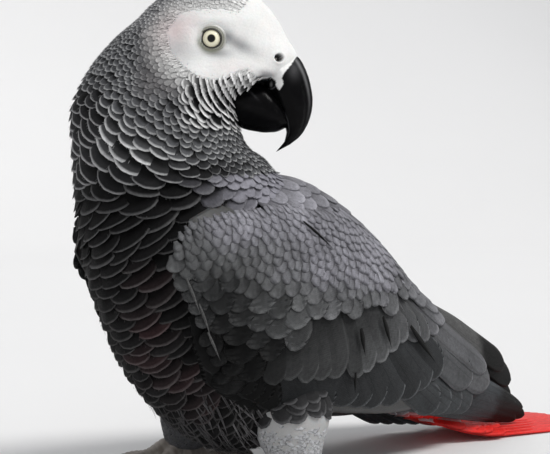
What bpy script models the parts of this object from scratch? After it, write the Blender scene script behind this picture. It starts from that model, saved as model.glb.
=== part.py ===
"""Grey parrot, life size, standing with its head turned back over the left shoulder.

The bird is built in millimetres and placed in metres.  Body frame: -Y is where
the breast points, +X is the bird's left, +Z is up, and the floor is z = 0.
The plumage is modelled as its outer surface; every named part is one closed solid.
"""
import math

import bmesh
import bpy
import numpy as np
from mathutils import Vector

# ----------------------------------------------------------------- main sizes (mm)
GAP = 0.35                      # clearance between touching parts
CENTRE = (0.0, 62.65)           # plan centre of the finished bird, moved to the origin
HEAD_TURN = 40.0                # degrees the face is turned from straight back towards +X
HEAD = np.array([10.0, -17.5, 163.0])   # middle of the skull
EYE_R = 5.6                     # eyeball radius
EYE_AT = (-0.7, 5.9, 13.4)      # eye centre: forward, up, sideways from HEAD
WING_PITCH = 24.3               # degrees the folded wing falls towards the tail
TAIL_LENGTH = 88.0
TARSUS = 26.0
FOOT_LEFT = (27.0, 8.0)         # plan place of each foot
FOOT_RIGHT = (-27.0, -5.5)

T = math.radians(HEAD_TURN)
FACE = np.array([math.sin(T), math.cos(T), 0.0])      # the way the bill points
CHEEK = np.array([math.cos(T), -math.sin(T), 0.0])    # the head's right side
UP = np.array([0.0, 0.0, 1.0])
LEFT = np.array([1.0, 0.0, 0.0])


# ----------------------------------------------------------------- small tools
def spline(xs, ys, x):
    """Smooth monotone-friendly cubic through the named stations."""
    xs, ys = np.asarray(xs, float), np.asarray(ys, float)
    h = np.diff(xs)
    d = np.diff(ys, axis=0) / (h[:, None] if ys.ndim > 1 else h)
    m = np.empty_like(ys)
    m[0], m[-1] = d[0], d[-1]
    w = (h[1:] / (h[1:] + h[:-1]))
    w = w[:, None] if ys.ndim > 1 else w
    m[1:-1] = d[:-1] * w + d[1:] * (1 - w)
    x = np.atleast_1d(np.asarray(x, float))
    i = np.clip(np.searchsorted(xs, x, side="right") - 1, 0, len(h) - 1)
    s = (x - xs[i]) / h[i]
    hh = h[i]
    if ys.ndim > 1:
        s, hh = s[:, None], hh[:, None]
    return ((2 * s**3 - 3 * s**2 + 1) * ys[i] + (s**3 - 2 * s**2 + s) * hh * m[i]
            + (-2 * s**3 + 3 * s**2) * ys[i + 1] + (s**3 - s**2) * hh * m[i + 1])


def material(name, rgb, rough, metallic=0.0):
    m = bpy.data.materials.new(name)
    m.use_nodes = True
    b = m.node_tree.nodes["Principled BSDF"]
    b.inputs["Base Color"].default_value = (*rgb, 1)
    b.inputs["Roughness"].default_value = rough
    b.inputs["Metallic"].default_value = metallic
    m.diffuse_color = (*rgb, 1)
    return m


def tube(rings, start=None, end=None):
    """Closed bmesh through rings of points; the ends go to a point or to a flat cap."""
    bm = bmesh.new()
    rows = [[bm.verts.new(p) for p in ring] for ring in rings]
    n = len(rows[0])
    for a, b in zip(rows, rows[1:]):
        for i in range(n):
            j = (i + 1) % n
            bm.faces.new((a[i], a[j], b[j], b[i]))
    for row, tip, flip in ((rows[0], start, True), (rows[-1], end, False)):
        if tip is None:
            tip = sum((Vector(v.co) for v in row), Vector()) / n
        c = bm.verts.new(tip)
        for i in range(n):
            j = (i + 1) % n
            bm.faces.new((row[j], row[i], c) if flip else (row[i], row[j], c))
    bmesh.ops.recalc_face_normals(bm, faces=bm.faces)
    if bm.calc_volume(signed=True) < 0:
        bmesh.ops.reverse_faces(bm, faces=bm.faces)
    return bm


def place(name, bm, mat=None, cutter=False, parent=None):
    """bmesh in body millimetres to a named object in metres, with its origin at its own middle."""
    pts = np.array([v.co for v in bm.verts])
    mid = (pts.min(axis=0) + pts.max(axis=0)) / 2
    for v in bm.verts:
        v.co = (v.co - Vector(mid)) / 1000
    me = bpy.data.meshes.new(name)
    bm.to_mesh(me)
    bm.free()
    o = bpy.data.objects.new(name, me)
    o.location = ((mid[0] - CENTRE[0]) / 1000, (mid[1] - CENTRE[1]) / 1000, mid[2] / 1000)
    bpy.context.scene.collection.objects.link(o)
    me.shade_smooth()
    if cutter:
        o.hide_render = True
        o.display_type = "WIRE"
    else:
        me.materials.append(material(name, *mat))
        o.parent = parent
    return o


def cut(obj, *cutters):
    for c in cutters:
        m = obj.modifiers.new("part_" + c.name, "BOOLEAN")
        m.operation = "DIFFERENCE"
        m.solver = "EXACT"
        m.object = c


for o in list(bpy.data.objects):
    bpy.data.objects.remove(o)
root = bpy.data.objects.new("grey_parrot", None)
bpy.context.scene.collection.objects.link(root)

# colour and roughness of each kind of surface
PLUMAGE = ((0.16, 0.165, 0.18), 0.8)
PALE = ((0.55, 0.56, 0.58), 0.8)
WING = ((0.13, 0.135, 0.15), 0.7)
DARK = ((0.035, 0.037, 0.042), 0.6)
RED = ((0.72, 0.03, 0.025), 0.6)
BILL = ((0.012, 0.012, 0.013), 0.25)
EYE = ((0.75, 0.72, 0.5), 0.05)
LEG = ((0.16, 0.145, 0.13), 0.6)
CLAW = ((0.03, 0.028, 0.026), 0.35)

# ----------------------------------------------------------------- body: tail root to crown
# station: along, x, y, z, half width, dorsal half depth, ventral half depth, egg, turn, tilt
# "dorsal" becomes the face side above the neck, because the head looks back.
def head_at(fwd, up):
    p = HEAD + FACE * fwd
    return p[0], p[1], HEAD[2] + up

BODY = [
    (0.00, 0.0, 122.0, 13.5, 12.0, 8.0, 5.0, 0.0, 0.0, 72.0),
    (0.05, 0.0, 106.0, 22.0, 18.0, 19.0, 12.0, 0.0, 0.0, 66.0),
    (0.13, 0.0, 82.0, 35.5, 25.5, 25.5, 20.0, 0.0, 0.0, 61.0),
    (0.24, 0.0, 54.0, 52.0, 33.0, 35.0, 36.0, 0.0, 0.0, 60.0),
    (0.36, 0.0, 24.0, 67.0, 37.5, 44.0, 64.0, 0.0, 0.0, 61.0),
    (0.47, 0.0, -4.0, 80.5, 38.5, 46.0, 58.5, 0.0, 0.0, 48.0),
    (0.57, 0.0, -24.0, 97.5, 36.0, 43.0, 44.5, 0.0, 3.0, 35.0),
    (0.66, -1.5, -33.0, 116.0, 33.2, 40.0, 34.6, 0.0, 12.0, 15.0),
    (0.715, -4.0, -34.6, 129.0, 31.4, 33.6, 32.0, 0.0, 26.0, 4.0),
    (0.765, *head_at(-22.7, -21.0), 29.4, 31.3, 31.9, 0.04, 36.0, 0.0),
    (0.815, *head_at(-20.2, -13.6), 26.8, 31.7, 32.2, 0.10, 40.0, 0.0),
    (0.855, *head_at(-12.0, -6.8), 23.0, 37.2, 37.2, 0.06, 40.0, 0.0),
    (0.890, *head_at(-6.8, 0.4), 20.4, 37.2, 37.2, 0.22, 40.0, 0.0),
    (0.920, *head_at(-5.2, 7.8), 19.2, 31.9, 31.9, 0.20, 40.0, 0.0),
    (0.947, *head_at(-3.1, 14.4), 17.6, 26.2, 26.2, 0.14, 40.0, 0.0),
    (0.969, *head_at(-2.5, 20.0), 15.0, 21.2, 21.2, 0.08, 40.0, 0.0),
    (0.986, *head_at(-2.2, 24.4), 10.8, 15.0, 15.0, 0.04, 40.0, 0.0),
    (0.996, *head_at(-2.0, 27.0), 6.0, 8.2, 8.2, 0.0, 40.0, 0.0),
]
BODY_KEYS = np.array(BODY)
CROWN = np.array(head_at(-2.0, 28.2))


def body_ring(t, n=32, grow=0.0):
    x, y, z, w, dd, dv, egg, turn, tilt = spline(BODY_KEYS[:, 0], BODY_KEYS[:, 1:], t)[0]
    a, b = math.radians(turn), math.radians(tilt)
    side = np.array([math.cos(a), -math.sin(a), 0.0])
    back = np.array([math.sin(a) * math.cos(b), math.cos(a) * math.cos(b), math.sin(b)])
    w, dd, dv = w + grow, dd + grow, dv + grow
    ring = []
    for i in range(n):
        q = 2 * math.pi * i / n
        c, s = math.cos(q), math.sin(q)
        along = s * ((dd + dv) / 2 + (dd - dv) / 2 * s)
        ring.append(np.array([x, y, z]) + side * (w * c * (1 - egg * s)) + back * along)
    return ring


def body_piece(stations, n=32, grow=0.0, end=None):
    return tube([body_ring(t, n, grow) for t in stations], None, end)


CUT_RUMP, CUT_NECK, CUT_HEAD = 0.185, 0.717, 0.800
def step_for(t, gap=GAP):
    """Share of the spine that is one gap long at t."""
    p = spline(BODY_KEYS[:, 0], BODY_KEYS[:, 1:4], [t - 0.004, t + 0.004])
    tilt = math.radians(spline(BODY_KEYS[:, 0], BODY_KEYS[:, 9], t)[0])
    turn = math.radians(spline(BODY_KEYS[:, 0], BODY_KEYS[:, 8], t)[0])
    axis = np.array([-math.sin(turn) * math.sin(tilt), -math.cos(turn) * math.sin(tilt), math.cos(tilt)])
    return gap * 0.008 / abs(np.dot(p[1] - p[0], axis))


# the pieces between the cuts, with closer rings towards the crown
RUMP_T = np.linspace(0.0, CUT_RUMP, 6)
TRUNK_T = np.linspace(CUT_RUMP + step_for(CUT_RUMP), CUT_NECK, 15)
NECK_T = np.linspace(CUT_NECK + step_for(CUT_NECK), CUT_HEAD, 5)
first = CUT_HEAD + step_for(CUT_HEAD)
HEAD_T = first + (0.996 - first) * np.sin(np.linspace(0, math.pi / 2, 12))

rump = place("rump", body_piece(RUMP_T), PLUMAGE, parent=root)
trunk = place("trunk", body_piece(TRUNK_T), PLUMAGE, parent=root)
neck = place("neck", body_piece(NECK_T), PLUMAGE, parent=root)
head = place("head", body_piece(HEAD_T, end=CROWN), PALE, parent=root)
body_cut = place("cut_body", body_piece(
    np.concatenate([RUMP_T, TRUNK_T[1:], NECK_T[1:], HEAD_T[1:]]), grow=GAP, end=CROWN + UP * GAP), cutter=True)


# ----------------------------------------------------------------- eyes
def ball(centre, r, u=14, v=8):
    bm = bmesh.new()
    bmesh.ops.create_uvsphere(bm, u_segments=u, v_segments=v, radius=r)
    for w in bm.verts:
        w.co += Vector(centre)
    return bm


for side, sign in (("right", 1), ("left", -1)):
    at = HEAD + FACE * EYE_AT[0] + UP * EYE_AT[1] + CHEEK * sign * EYE_AT[2]
    place(f"eye_{side}", ball(at, EYE_R), EYE, parent=root)
    cut(head, place(f"cut_eye_{side}", ball(at, EYE_R + GAP), cutter=True))
    nostril = HEAD + FACE * 23.5 - UP * 0.9 + CHEEK * sign * 9.6
    cut(head, place(f"cut_nostril_{side}", ball(nostril, 1.6, 8, 5), cutter=True))


# ----------------------------------------------------------------- bill
def in_head(f, u, r=0.0):
    return HEAD + FACE * f + UP * u + CHEEK * r


# share, culmen point (forward, up), cutting-edge point (forward, up), half width
UPPER = np.array([
    (0.00, 25.0, 3.6, 13.0, -5.0, 8.4),
    (0.12, 30.6, 0.4, 16.0, -8.0, 8.9),
    (0.24, 33.3, -3.8, 18.6, -11.0, 8.8),
    (0.38, 35.2, -9.2, 20.6, -14.6, 8.2),
    (0.52, 36.2, -15.2, 22.6, -18.6, 7.2),
    (0.66, 35.7, -20.6, 24.4, -22.4, 5.8),
    (0.78, 34.1, -25.2, 26.0, -25.6, 4.4),
    (0.88, 31.3, -29.4, 26.5, -28.2, 3.0),
    (0.95, 27.9, -32.1, 25.8, -31.2, 1.6),
])
UPPER_TIP = (22.6, -35.1)
# share, top point (forward, up), bottom point (forward, up), half width
LOWER = np.array([
    (0.00, 6.5, -10.0, 3.5, -22.0, 7.0),
    (0.28, 13.0, -8.6, 9.6, -26.0, 8.6),
    (0.52, 18.5, -9.5, 14.4, -27.3, 8.9),
    (0.75, 23.0, -13.5, 19.6, -27.8, 8.0),
    (0.90, 26.4, -19.0, 24.0, -27.2, 6.2),
    (0.97, 27.6, -22.4, 26.4, -26.0, 4.2),
])
LOWER_TIP = (28.0, -24.3)


def beak(table, steps, tip, grow=0.0, n=16, ridge=0.0, belly=0.0):
    """Sections run from a back point to a front point; ridge and belly slim either end."""
    rings = []
    for t in np.linspace(0, table[-1, 0], steps):
        of, ou, inf, inu, w = spline(table[:, 0], table[:, 1:], t)[0]
        mid = np.array([(of + inf) / 2, (ou + inu) / 2])
        half = np.array([(of - inf) / 2, (ou - inu) / 2])
        size = np.hypot(*half)
        half = half * (size + grow) / size
        ring = []
        for i in range(n):
            q = 2 * math.pi * i / n
            c, s = math.cos(q), math.sin(q)
            across = (w + grow) * c * (1 - ridge * max(s, 0) - belly * max(-s, 0))
            p = mid + half * s
            ring.append(in_head(p[0], p[1], across))
        rings.append(ring)
    return tube(rings, end=in_head(*tip))


def upper_bill(grow=0.0):
    return beak(UPPER, 12, (UPPER_TIP[0] - 0.3 * grow, UPPER_TIP[1] - grow), grow, ridge=0.34)


def lower_bill(grow=0.0):
    return beak(LOWER, 8, LOWER_TIP, grow, belly=0.22)


bill_upper = place("bill_upper", upper_bill(), BILL, parent=root)
bill_lower = place("bill_lower", lower_bill(), BILL, parent=root)
cut(bill_upper, body_cut)
cut(bill_lower, body_cut, place("cut_bill", upper_bill(GAP), cutter=True))

# ----------------------------------------------------------------- folded wings
# The wing is a curved plate round the body.  s runs from the wrist to the tip along a
# line that falls by WING_PITCH, and angle q runs from the back edge to the belly edge.
P = math.radians(WING_PITCH)
E1 = np.array([0.0, math.cos(P), -math.sin(P)])
E2 = np.array([0.0, math.sin(P), math.cos(P)])
WRIST = np.array([0.0, -50.0, 85.0])
# how far each wing sits from its mirror place: s, then x, y, z (the far wing is drawn back)
WING_SHIFT = {
    "left": np.array([(0.0, 0.0, 1.5, -1.5), (60.0, 0.0, 0.0, 0.0), (150.0, 0.0, 0.0, 0.5)]),
    "right": np.array([(0.0, 0.0, 7.5, 3.0), (60.0, 0.0, 8.0, -5.5), (150.0, 0.0, 20.0, -13.0)]),
}
PRIMARY_SHIFT = {
    "left": np.array([(0.0, 0.0, 1.5, -1.5), (80.0, 0.0, 0.0, 0.0), (160.0, 0.0, 0.0, 0.6)]),
    "right": np.array([(0.0, 0.0, 7.5, 3.0), (80.0, 0.0, 9.0, -6.0), (160.0, 1.0, 9.0, 2.0)]),
}
# s, centre height, half width, half depth
WING_FORM = np.array([
    (-14.0, 8.0, 37.5, 24.0),
    (0.0, 9.0, 43.0, 34.0),
    (25.0, 11.0, 46.0, 42.5),
    (55.0, 13.0, 46.5, 49.0),
    (90.0, 13.5, 43.0, 44.0),
    (120.0, 12.5, 37.5, 36.0),
    (150.0, 13.0, 31.0, 28.5),
    (180.0, 14.5, 24.5, 21.0),
    (205.0, 15.5, 18.0, 14.0),
    (222.0, 16.0, 13.5, 10.0),
    (232.0, 16.0, 11.5, 8.5),
])


def wing_point(s, q, inward=0.0):
    """Point of the wing's outer face for the left side; q in degrees, 90 is the back."""
    c, a, b = spline(WING_FORM[:, 0], WING_FORM[:, 1:], s)[0]
    a, b = a - inward, b - inward
    r = math.radians(q)
    x = a * (math.cos(r) if q > 0 else max(math.cos(r), 0.0) ** 0.42)
    return WRIST + E1 * s + E2 * (c + b * math.sin(r)) + LEFT * x


# s, back edge angle, belly edge angle, thickness, inset from the wing's outer face
PLATE = np.array([      # coverts and secondaries
    (-13.5, 12.0, -14.0, 2.0, 0.0),
    (-11.0, 24.0, -24.0, 4.4, 0.0),
    (-4.0, 38.0, -33.0, 6.4, 0.0),
    (8.0, 50.0, -40.0, 7.4, 0.0),
    (28.0, 62.0, -50.0, 7.4, 0.0),
    (50.0, 72.0, -62.0, 6.4, 0.0),
    (66.0, 78.0, -69.0, 5.6, 0.0),
    (85.0, 83.0, -69.0, 5.0, 0.0),
    (105.0, 87.0, -65.0, 4.6, 0.0),
    (128.0, 88.5, -55.0, 4.2, 0.0),
    (150.0, 88.5, -34.0, 3.8, 0.0),
    (170.0, 88.0, -12.0, 3.4, 0.0),
    (184.0, 87.0, 6.0, 2.8, 0.0),
])
PRIMARY = np.array([    # the long flight feathers, stacked under the plate
    (74.0, -44.0, -78.0, 2.6, 6.6),
    (100.0, -30.0, -77.0, 3.2, 5.8),
    (130.0, -4.0, -76.0, 3.2, 5.2),
    (160.0, 24.0, -78.0, 3.0, 4.6),
    (184.0, 44.0, -78.0, 2.8, 3.8),
    (204.0, 48.0, -64.0, 2.4, 2.0),
    (220.0, 38.0, -38.0, 2.0, 1.0),
    (230.0, 16.0, -12.0, 1.4, 0.6),
])


def wing_plate(table, side, steps, across, grow=0.0):
    sign = 1 if side == "left" else -1
    moved = (WING_SHIFT if table is PLATE else PRIMARY_SHIFT)[side]
    rings = []
    for s in np.linspace(table[0, 0], table[-1, 0], steps):
        top, bottom, thick, inset = spline(table[:, 0], table[:, 1:], s)[0]
        c, a, b = spline(WING_FORM[:, 0], WING_FORM[:, 1:], s)[0]
        shift = np.array([np.interp(s, moved[:, 0], moved[:, k]) for k in (1, 2, 3)])
        more = math.degrees(grow / max(b, 8.0))
        qs = np.linspace(top + more, bottom - more, across)
        outer = [wing_point(s, q, inset - grow) for q in qs]
        under = [wing_point(s, q, inset + thick * (0.35 + 0.65 * math.sin(math.pi * (k + 0.5) / across)) + grow)
                 for k, q in enumerate(qs)]
        rings.append([p * np.array([sign, 1, 1]) + shift for p in outer + under[::-1]])
    ends = []
    for ring, way in ((rings[0], -1), (rings[-1], 1)):
        ends.append(np.mean(ring, axis=0) + E1 * way * (0.6 + grow))
    return tube(rings, ends[0], ends[1])


for side in ("left", "right"):
    wing = place(f"wing_{side}", wing_plate(PLATE, side, 13, 8), WING, parent=root)
    primaries = place(f"primaries_{side}", wing_plate(PRIMARY, side, 11, 5), DARK, parent=root)
    wing_cut = place(f"cut_wing_{side}", wing_plate(PLATE, side, 13, 8, grow=2 * GAP), cutter=True)
    prim_cut = place(f"cut_primaries_{side}", wing_plate(PRIMARY, side, 11, 5, grow=GAP), cutter=True)
    cut(wing, body_cut)
    cut(primaries, body_cut, wing_cut)

# ----------------------------------------------------------------- tail, laid on the floor
TAIL_ROOT = (0.0, 104.0)
TAIL = np.array([      # share of length, half width, top height, clearance under it
    (0.00, 9.0, 16.0, 8.0),
    (0.15, 12.5, 11.5, 3.0),
    (0.30, 16.0, 8.2, 0.0),
    (0.50, 20.5, 5.6, 0.0),
    (0.70, 24.0, 4.0, 0.0),
    (0.88, 26.0, 3.0, 0.0),
    (1.00, 27.0, 2.0, 0.0),
])


def tail_solid(half=9):
    rings = []
    for t in (0.0, 0.15, 0.3, 0.5, 0.7, 0.88, 0.96, 1.0):
        w, top, under = spline(TAIL[:, 0], TAIL[:, 1:], t)[0]
        under = under if t < 0.29 else 0.0
        ring_top, ring_low = [], []
        for k in range(half + 1):
            u = -1 + 2 * k / half
            y = TAIL_ROOT[1] + TAIL_LENGTH * t * (1 - 0.09 * u * u)
            z = under + (top - under) * (1 - 0.5 * u * u)
            ring_top.append(np.array([u * w, y, max(z, 1.1)]))
            ring_low.append(np.array([u * w, y, under]))
        rings.append(ring_low + ring_top[::-1])
    return tube(rings)


tail = place("tail", tail_solid(), RED, parent=root)
cut(tail, body_cut)
for side in ("left", "right"):
    cut(tail, bpy.data.objects[f"cut_primaries_{side}"])

# ----------------------------------------------------------------- legs
def round_tube(path, radii, n=12, flat=None, squash=1.0, end=None, start=None):
    """Tube along a path (points), with its own radius at each, kept above the floor."""
    path = np.array(path, float)
    rings = []
    for i, (p, r) in enumerate(zip(path, radii)):
        a = path[min(i + 1, len(path) - 1)] - path[max(i - 1, 0)]
        a /= np.linalg.norm(a)
        ref = UP if abs(a[2]) < 0.9 else np.array([0, -1.0, 0])
        side = np.cross(a, ref)
        side /= np.linalg.norm(side)
        up = np.cross(side, a)
        ring = []
        for k in range(n):
            q = 2 * math.pi * (k + 0.5) / n
            v = p + side * r * math.cos(q) + up * r * squash * math.sin(q)
            if flat is not None:
                v[2] = max(v[2], flat)
            ring.append(v)
        rings.append(ring)
    if end is not None and flat is not None:
        end = np.array(end, float)
        end[2] = max(end[2], flat)
    return tube(rings, start, end)


# toe: bearing from straight ahead (degrees, + outward), length, girth radius, height at the root
TOES = {
    "toe_2": (-12.0, 23.0, 4.1, 8.2),
    "toe_3": (24.0, 34.0, 4.5, 9.4),
    "toe_4": (158.0, 31.0, 4.2, 7.4),
    "toe_1": (196.0, 18.0, 3.7, 6.2),
}
CLAW_LENGTH = {"toe_2": 11.0, "toe_3": 12.5, "toe_4": 11.5, "toe_1": 9.0}


def toe_shape(foot, out, bearing, length, girth, root_height, grow=0.0):
    """A toe that slopes down from its root and rests on its pads."""
    a = math.radians(bearing)
    way = np.array([out * math.sin(a), -math.cos(a), 0.0])
    base = np.array([foot[0], foot[1], 0.0])
    path, radii = [], []
    for t in np.linspace(0, 1, 8):
        r = girth * (1 - 0.28 * t) * (1 + 0.08 * math.cos(2 * math.pi * (t * 2.5 - 0.3)))
        rest = r * 0.86
        z = rest + (root_height - girth * 0.86) * max(0.0, 1 - t / 0.55) ** 1.5
        path.append(base + way * (3.0 + (length + 2.0) * t) + UP * z)
        radii.append(r + grow)
    tip = path[-1] + way * (1.6 + grow)
    return round_tube(path, radii, n=8, flat=-grow, end=tip), path[-1], way


for side, foot, out, plump in (("left", FOOT_LEFT, 1, 1.0), ("right", FOOT_RIGHT, -1, 0.84)):
    fx, fy = foot
    # feathered thigh: from inside the trunk down to the heel
    tx = fx * 0.8
    thigh_path = [(tx, fy + 2, 48), (tx, fy + 2, 38), (tx * 1.06, fy + 1, 29), (tx * 1.14, fy, 20), (fx, fy, 10.5)]
    radii = [r * plump for r in (15.0, 16.0, 15.6, 14.0, 10.0)]
    thigh = place(f"thigh_{side}", round_tube(thigh_path, radii, n=16), PALE, parent=root)
    thigh_cut = place(f"cut_thigh_{side}", round_tube(
        [thigh_path[0]] + thigh_path[1:-1] + [(fx, fy, 10.5 - GAP)], [r + GAP for r in radii], n=16), cutter=True)
    cut(thigh, body_cut, bpy.data.objects[f"cut_wing_{side}"], bpy.data.objects[f"cut_primaries_{side}"])
    # bare tarsus ending in the sole pad
    shank = [(fx, fy, 0.0), (fx, fy, 1.6), (fx, fy, 5.0), (fx, fy, 9.0), (fx, fy, 13.0), (fx, fy + 0.5, TARSUS)]
    girth = [5.0, 6.6, 7.4, 6.6, 5.2, 4.4]
    tarsus = place(f"tarsus_{side}", round_tube(shank, girth, n=12), LEG, parent=root)
    tarsus_cut = place(f"cut_tarsus_{side}", round_tube(
        [(fx, fy, -1.0)] + shank[1:], [g + GAP for g in girth], n=12), cutter=True)
    cut(tarsus, thigh_cut)
    grown = {}
    for name, (bearing, length, girth_r, knuckle) in TOES.items():
        bm, last, way = toe_shape(foot, out, bearing, length, girth_r, knuckle)
        toe = place(f"{name}_{side}", bm, LEG, parent=root)
        grown[name] = place(f"cut_{name}_{side}", toe_shape(foot, out, bearing, length, girth_r, knuckle, GAP)[0], cutter=True)
        cut(toe, tarsus_cut, thigh_cut)
        size = CLAW_LENGTH[name]
        path = [last - way * 1.0 + UP * 0.7]
        for t in (0.25, 0.5, 0.75):
            path.append(last + way * size * (t * 0.98) + UP * (0.9 + 1.5 * math.sin(math.pi * t) - 2.6 * t * t))
        claw_tip = last + way * size * 0.98 - UP * 2.7
        claw_tip[2] = max(claw_tip[2], 0.25)
        bm = round_tube(path, [2.3, 1.9, 1.4, 0.85], n=6, flat=0.0, end=claw_tip)
        claw = place(f"claw_{name[-1]}_{side}", bm, CLAW, parent=root)
        cut(claw, grown[name])
    cut(bpy.data.objects[f"toe_2_{side}"], grown["toe_3"])
    cut(bpy.data.objects[f"toe_1_{side}"], grown["toe_4"])
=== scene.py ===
import math

import bpy
import numpy as np
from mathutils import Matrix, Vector
from mathutils.bvhtree import BVHTree

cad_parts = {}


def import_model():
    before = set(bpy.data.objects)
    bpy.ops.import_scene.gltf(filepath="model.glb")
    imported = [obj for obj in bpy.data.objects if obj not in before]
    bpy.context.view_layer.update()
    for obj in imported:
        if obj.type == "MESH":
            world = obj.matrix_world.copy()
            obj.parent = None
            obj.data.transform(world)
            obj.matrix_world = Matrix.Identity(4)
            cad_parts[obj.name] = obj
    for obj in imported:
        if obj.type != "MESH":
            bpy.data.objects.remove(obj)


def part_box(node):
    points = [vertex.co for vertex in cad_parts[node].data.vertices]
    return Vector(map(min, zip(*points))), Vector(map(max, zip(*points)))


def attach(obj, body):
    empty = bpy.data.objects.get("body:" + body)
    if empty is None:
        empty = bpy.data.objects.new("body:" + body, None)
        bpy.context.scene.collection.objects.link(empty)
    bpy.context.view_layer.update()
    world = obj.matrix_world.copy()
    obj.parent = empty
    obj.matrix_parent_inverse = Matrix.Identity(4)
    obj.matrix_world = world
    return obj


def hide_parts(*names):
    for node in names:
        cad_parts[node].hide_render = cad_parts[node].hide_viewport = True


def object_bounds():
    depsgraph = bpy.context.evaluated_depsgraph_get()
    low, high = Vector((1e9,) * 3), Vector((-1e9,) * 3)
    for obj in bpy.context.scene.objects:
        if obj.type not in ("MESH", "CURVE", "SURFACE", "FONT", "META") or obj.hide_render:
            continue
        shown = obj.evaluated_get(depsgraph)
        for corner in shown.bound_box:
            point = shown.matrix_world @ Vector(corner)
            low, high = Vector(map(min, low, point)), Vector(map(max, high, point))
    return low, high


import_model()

low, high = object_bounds()
CAD_BOX = [[float(v) for v in low], [float(v) for v in high]]
rng = np.random.default_rng(20)

# ------------------------------------------------------------------ the body's own frame
HEAD_TURN = math.radians(40.0)
UP = np.array([0.0, 0.0, 1.0])
FACE = np.array([math.sin(HEAD_TURN), math.cos(HEAD_TURN), 0.0])
CHEEK = np.array([math.cos(HEAD_TURN), -math.sin(HEAD_TURN), 0.0])
HEAD = np.array([10.0, -17.5, 163.0])
EYE_AT = (-0.7, 5.9, 13.4)
EYE_R = 5.6


def in_head(f, u, c=0.0):
    f, u, c = (np.asarray(v, float)[..., None] for v in (f, u, c))
    return HEAD + FACE * f + UP * u + CHEEK * c


def head_coords(p):
    d = np.asarray(p) - HEAD
    return d @ FACE, d @ UP, d @ CHEEK


eye_low, eye_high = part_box("eye_right")
SHIFT = (np.array(eye_low) + np.array(eye_high)) * 500 - in_head(*EYE_AT)


def world(p):
    return (np.asarray(p, float) + SHIFT) / 1000


def spline(xs, ys, x):
    xs, ys = np.asarray(xs, float), np.asarray(ys, float)
    h = np.diff(xs)
    d = np.diff(ys, axis=0) / (h[:, None] if ys.ndim > 1 else h)
    m = np.empty_like(ys)
    m[0], m[-1] = d[0], d[-1]
    w = h[1:] / (h[1:] + h[:-1])
    w = w[:, None] if ys.ndim > 1 else w
    m[1:-1] = d[:-1] * w + d[1:] * (1 - w)
    x = np.atleast_1d(np.asarray(x, float))
    i = np.clip(np.searchsorted(xs, x, side="right") - 1, 0, len(h) - 1)
    s = (x - xs[i]) / h[i]
    hh = h[i]
    if ys.ndim > 1:
        s, hh = s[:, None], hh[:, None]
    return ((2 * s**3 - 3 * s**2 + 1) * ys[i] + (s**3 - 2 * s**2 + s) * hh * m[i]
            + (-2 * s**3 + 3 * s**2) * ys[i + 1] + (s**3 - s**2) * hh * m[i + 1])


def unit(v):
    return v / np.maximum(np.linalg.norm(v, axis=-1, keepdims=True), 1e-9)


def smooth(a, b, x):
    s = np.clip((np.asarray(x, float) - a) / (b - a), 0, 1)
    return s * s * (3 - 2 * s)


def mix(a, b, k):
    k = np.asarray(k, float)[..., None]
    return np.asarray(a, float) * (1 - k) + np.asarray(b, float) * k


def wobble(p, scale, seed=0):
    """Smooth made-up variation between -1 and 1 from a sum of turned sine waves."""
    p = np.asarray(p, float) / scale
    out = 0
    g = np.random.default_rng(100 + seed)
    for _ in range(6):
        k = g.normal(size=p.shape[-1]) * 1.2
        out = out + np.sin(p @ k + g.uniform(0, 6.28) + 1.7 * np.sin(p @ np.roll(k, 1)))
    return out / 3.2


# ------------------------------------------------------------------ body surface
def at(f, u):
    p = in_head(f, u)
    return p[0], p[1], p[2]


BODY = np.array([
    (0.00, 0.0, 122.0, 13.5, 12.0, 8.0, 5.0, 0.0, 0.0, 72.0),
    (0.05, 0.0, 106.0, 22.0, 18.0, 19.0, 12.0, 0.0, 0.0, 66.0),
    (0.13, 0.0, 82.0, 35.5, 25.5, 25.5, 20.0, 0.0, 0.0, 61.0),
    (0.24, 0.0, 54.0, 52.0, 33.0, 35.0, 36.0, 0.0, 0.0, 60.0),
    (0.36, 0.0, 24.0, 67.0, 37.5, 44.0, 64.0, 0.0, 0.0, 61.0),
    (0.47, 0.0, -4.0, 80.5, 38.5, 46.0, 58.5, 0.0, 0.0, 48.0),
    (0.57, 0.0, -24.0, 97.5, 36.0, 43.0, 44.5, 0.0, 3.0, 35.0),
    (0.66, -1.5, -33.0, 116.0, 33.2, 40.0, 34.6, 0.0, 12.0, 15.0),
    (0.715, -4.0, -34.6, 129.0, 31.4, 33.6, 32.0, 0.0, 26.0, 4.0),
    (0.765, *at(-22.7, -21.0), 29.4, 31.3, 31.9, 0.04, 36.0, 0.0),
    (0.815, *at(-20.2, -13.6), 26.8, 31.7, 32.2, 0.10, 40.0, 0.0),
    (0.855, *at(-12.0, -6.8), 23.0, 37.2, 37.2, 0.06, 40.0, 0.0),
    (0.890, *at(-6.8, 0.4), 20.4, 37.2, 37.2, 0.22, 40.0, 0.0),
    (0.920, *at(-5.2, 7.8), 19.2, 31.9, 31.9, 0.20, 40.0, 0.0),
    (0.947, *at(-3.1, 14.4), 17.6, 26.2, 26.2, 0.14, 40.0, 0.0),
    (0.969, *at(-2.5, 20.0), 15.0, 21.2, 21.2, 0.08, 40.0, 0.0),
    (0.986, *at(-2.2, 24.4), 10.8, 15.0, 15.0, 0.04, 40.0, 0.0),
    (0.996, *at(-2.0, 27.0), 6.0, 8.2, 8.2, 0.0, 40.0, 0.0),
])
CROWN = in_head(-2.0, 28.2)


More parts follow.
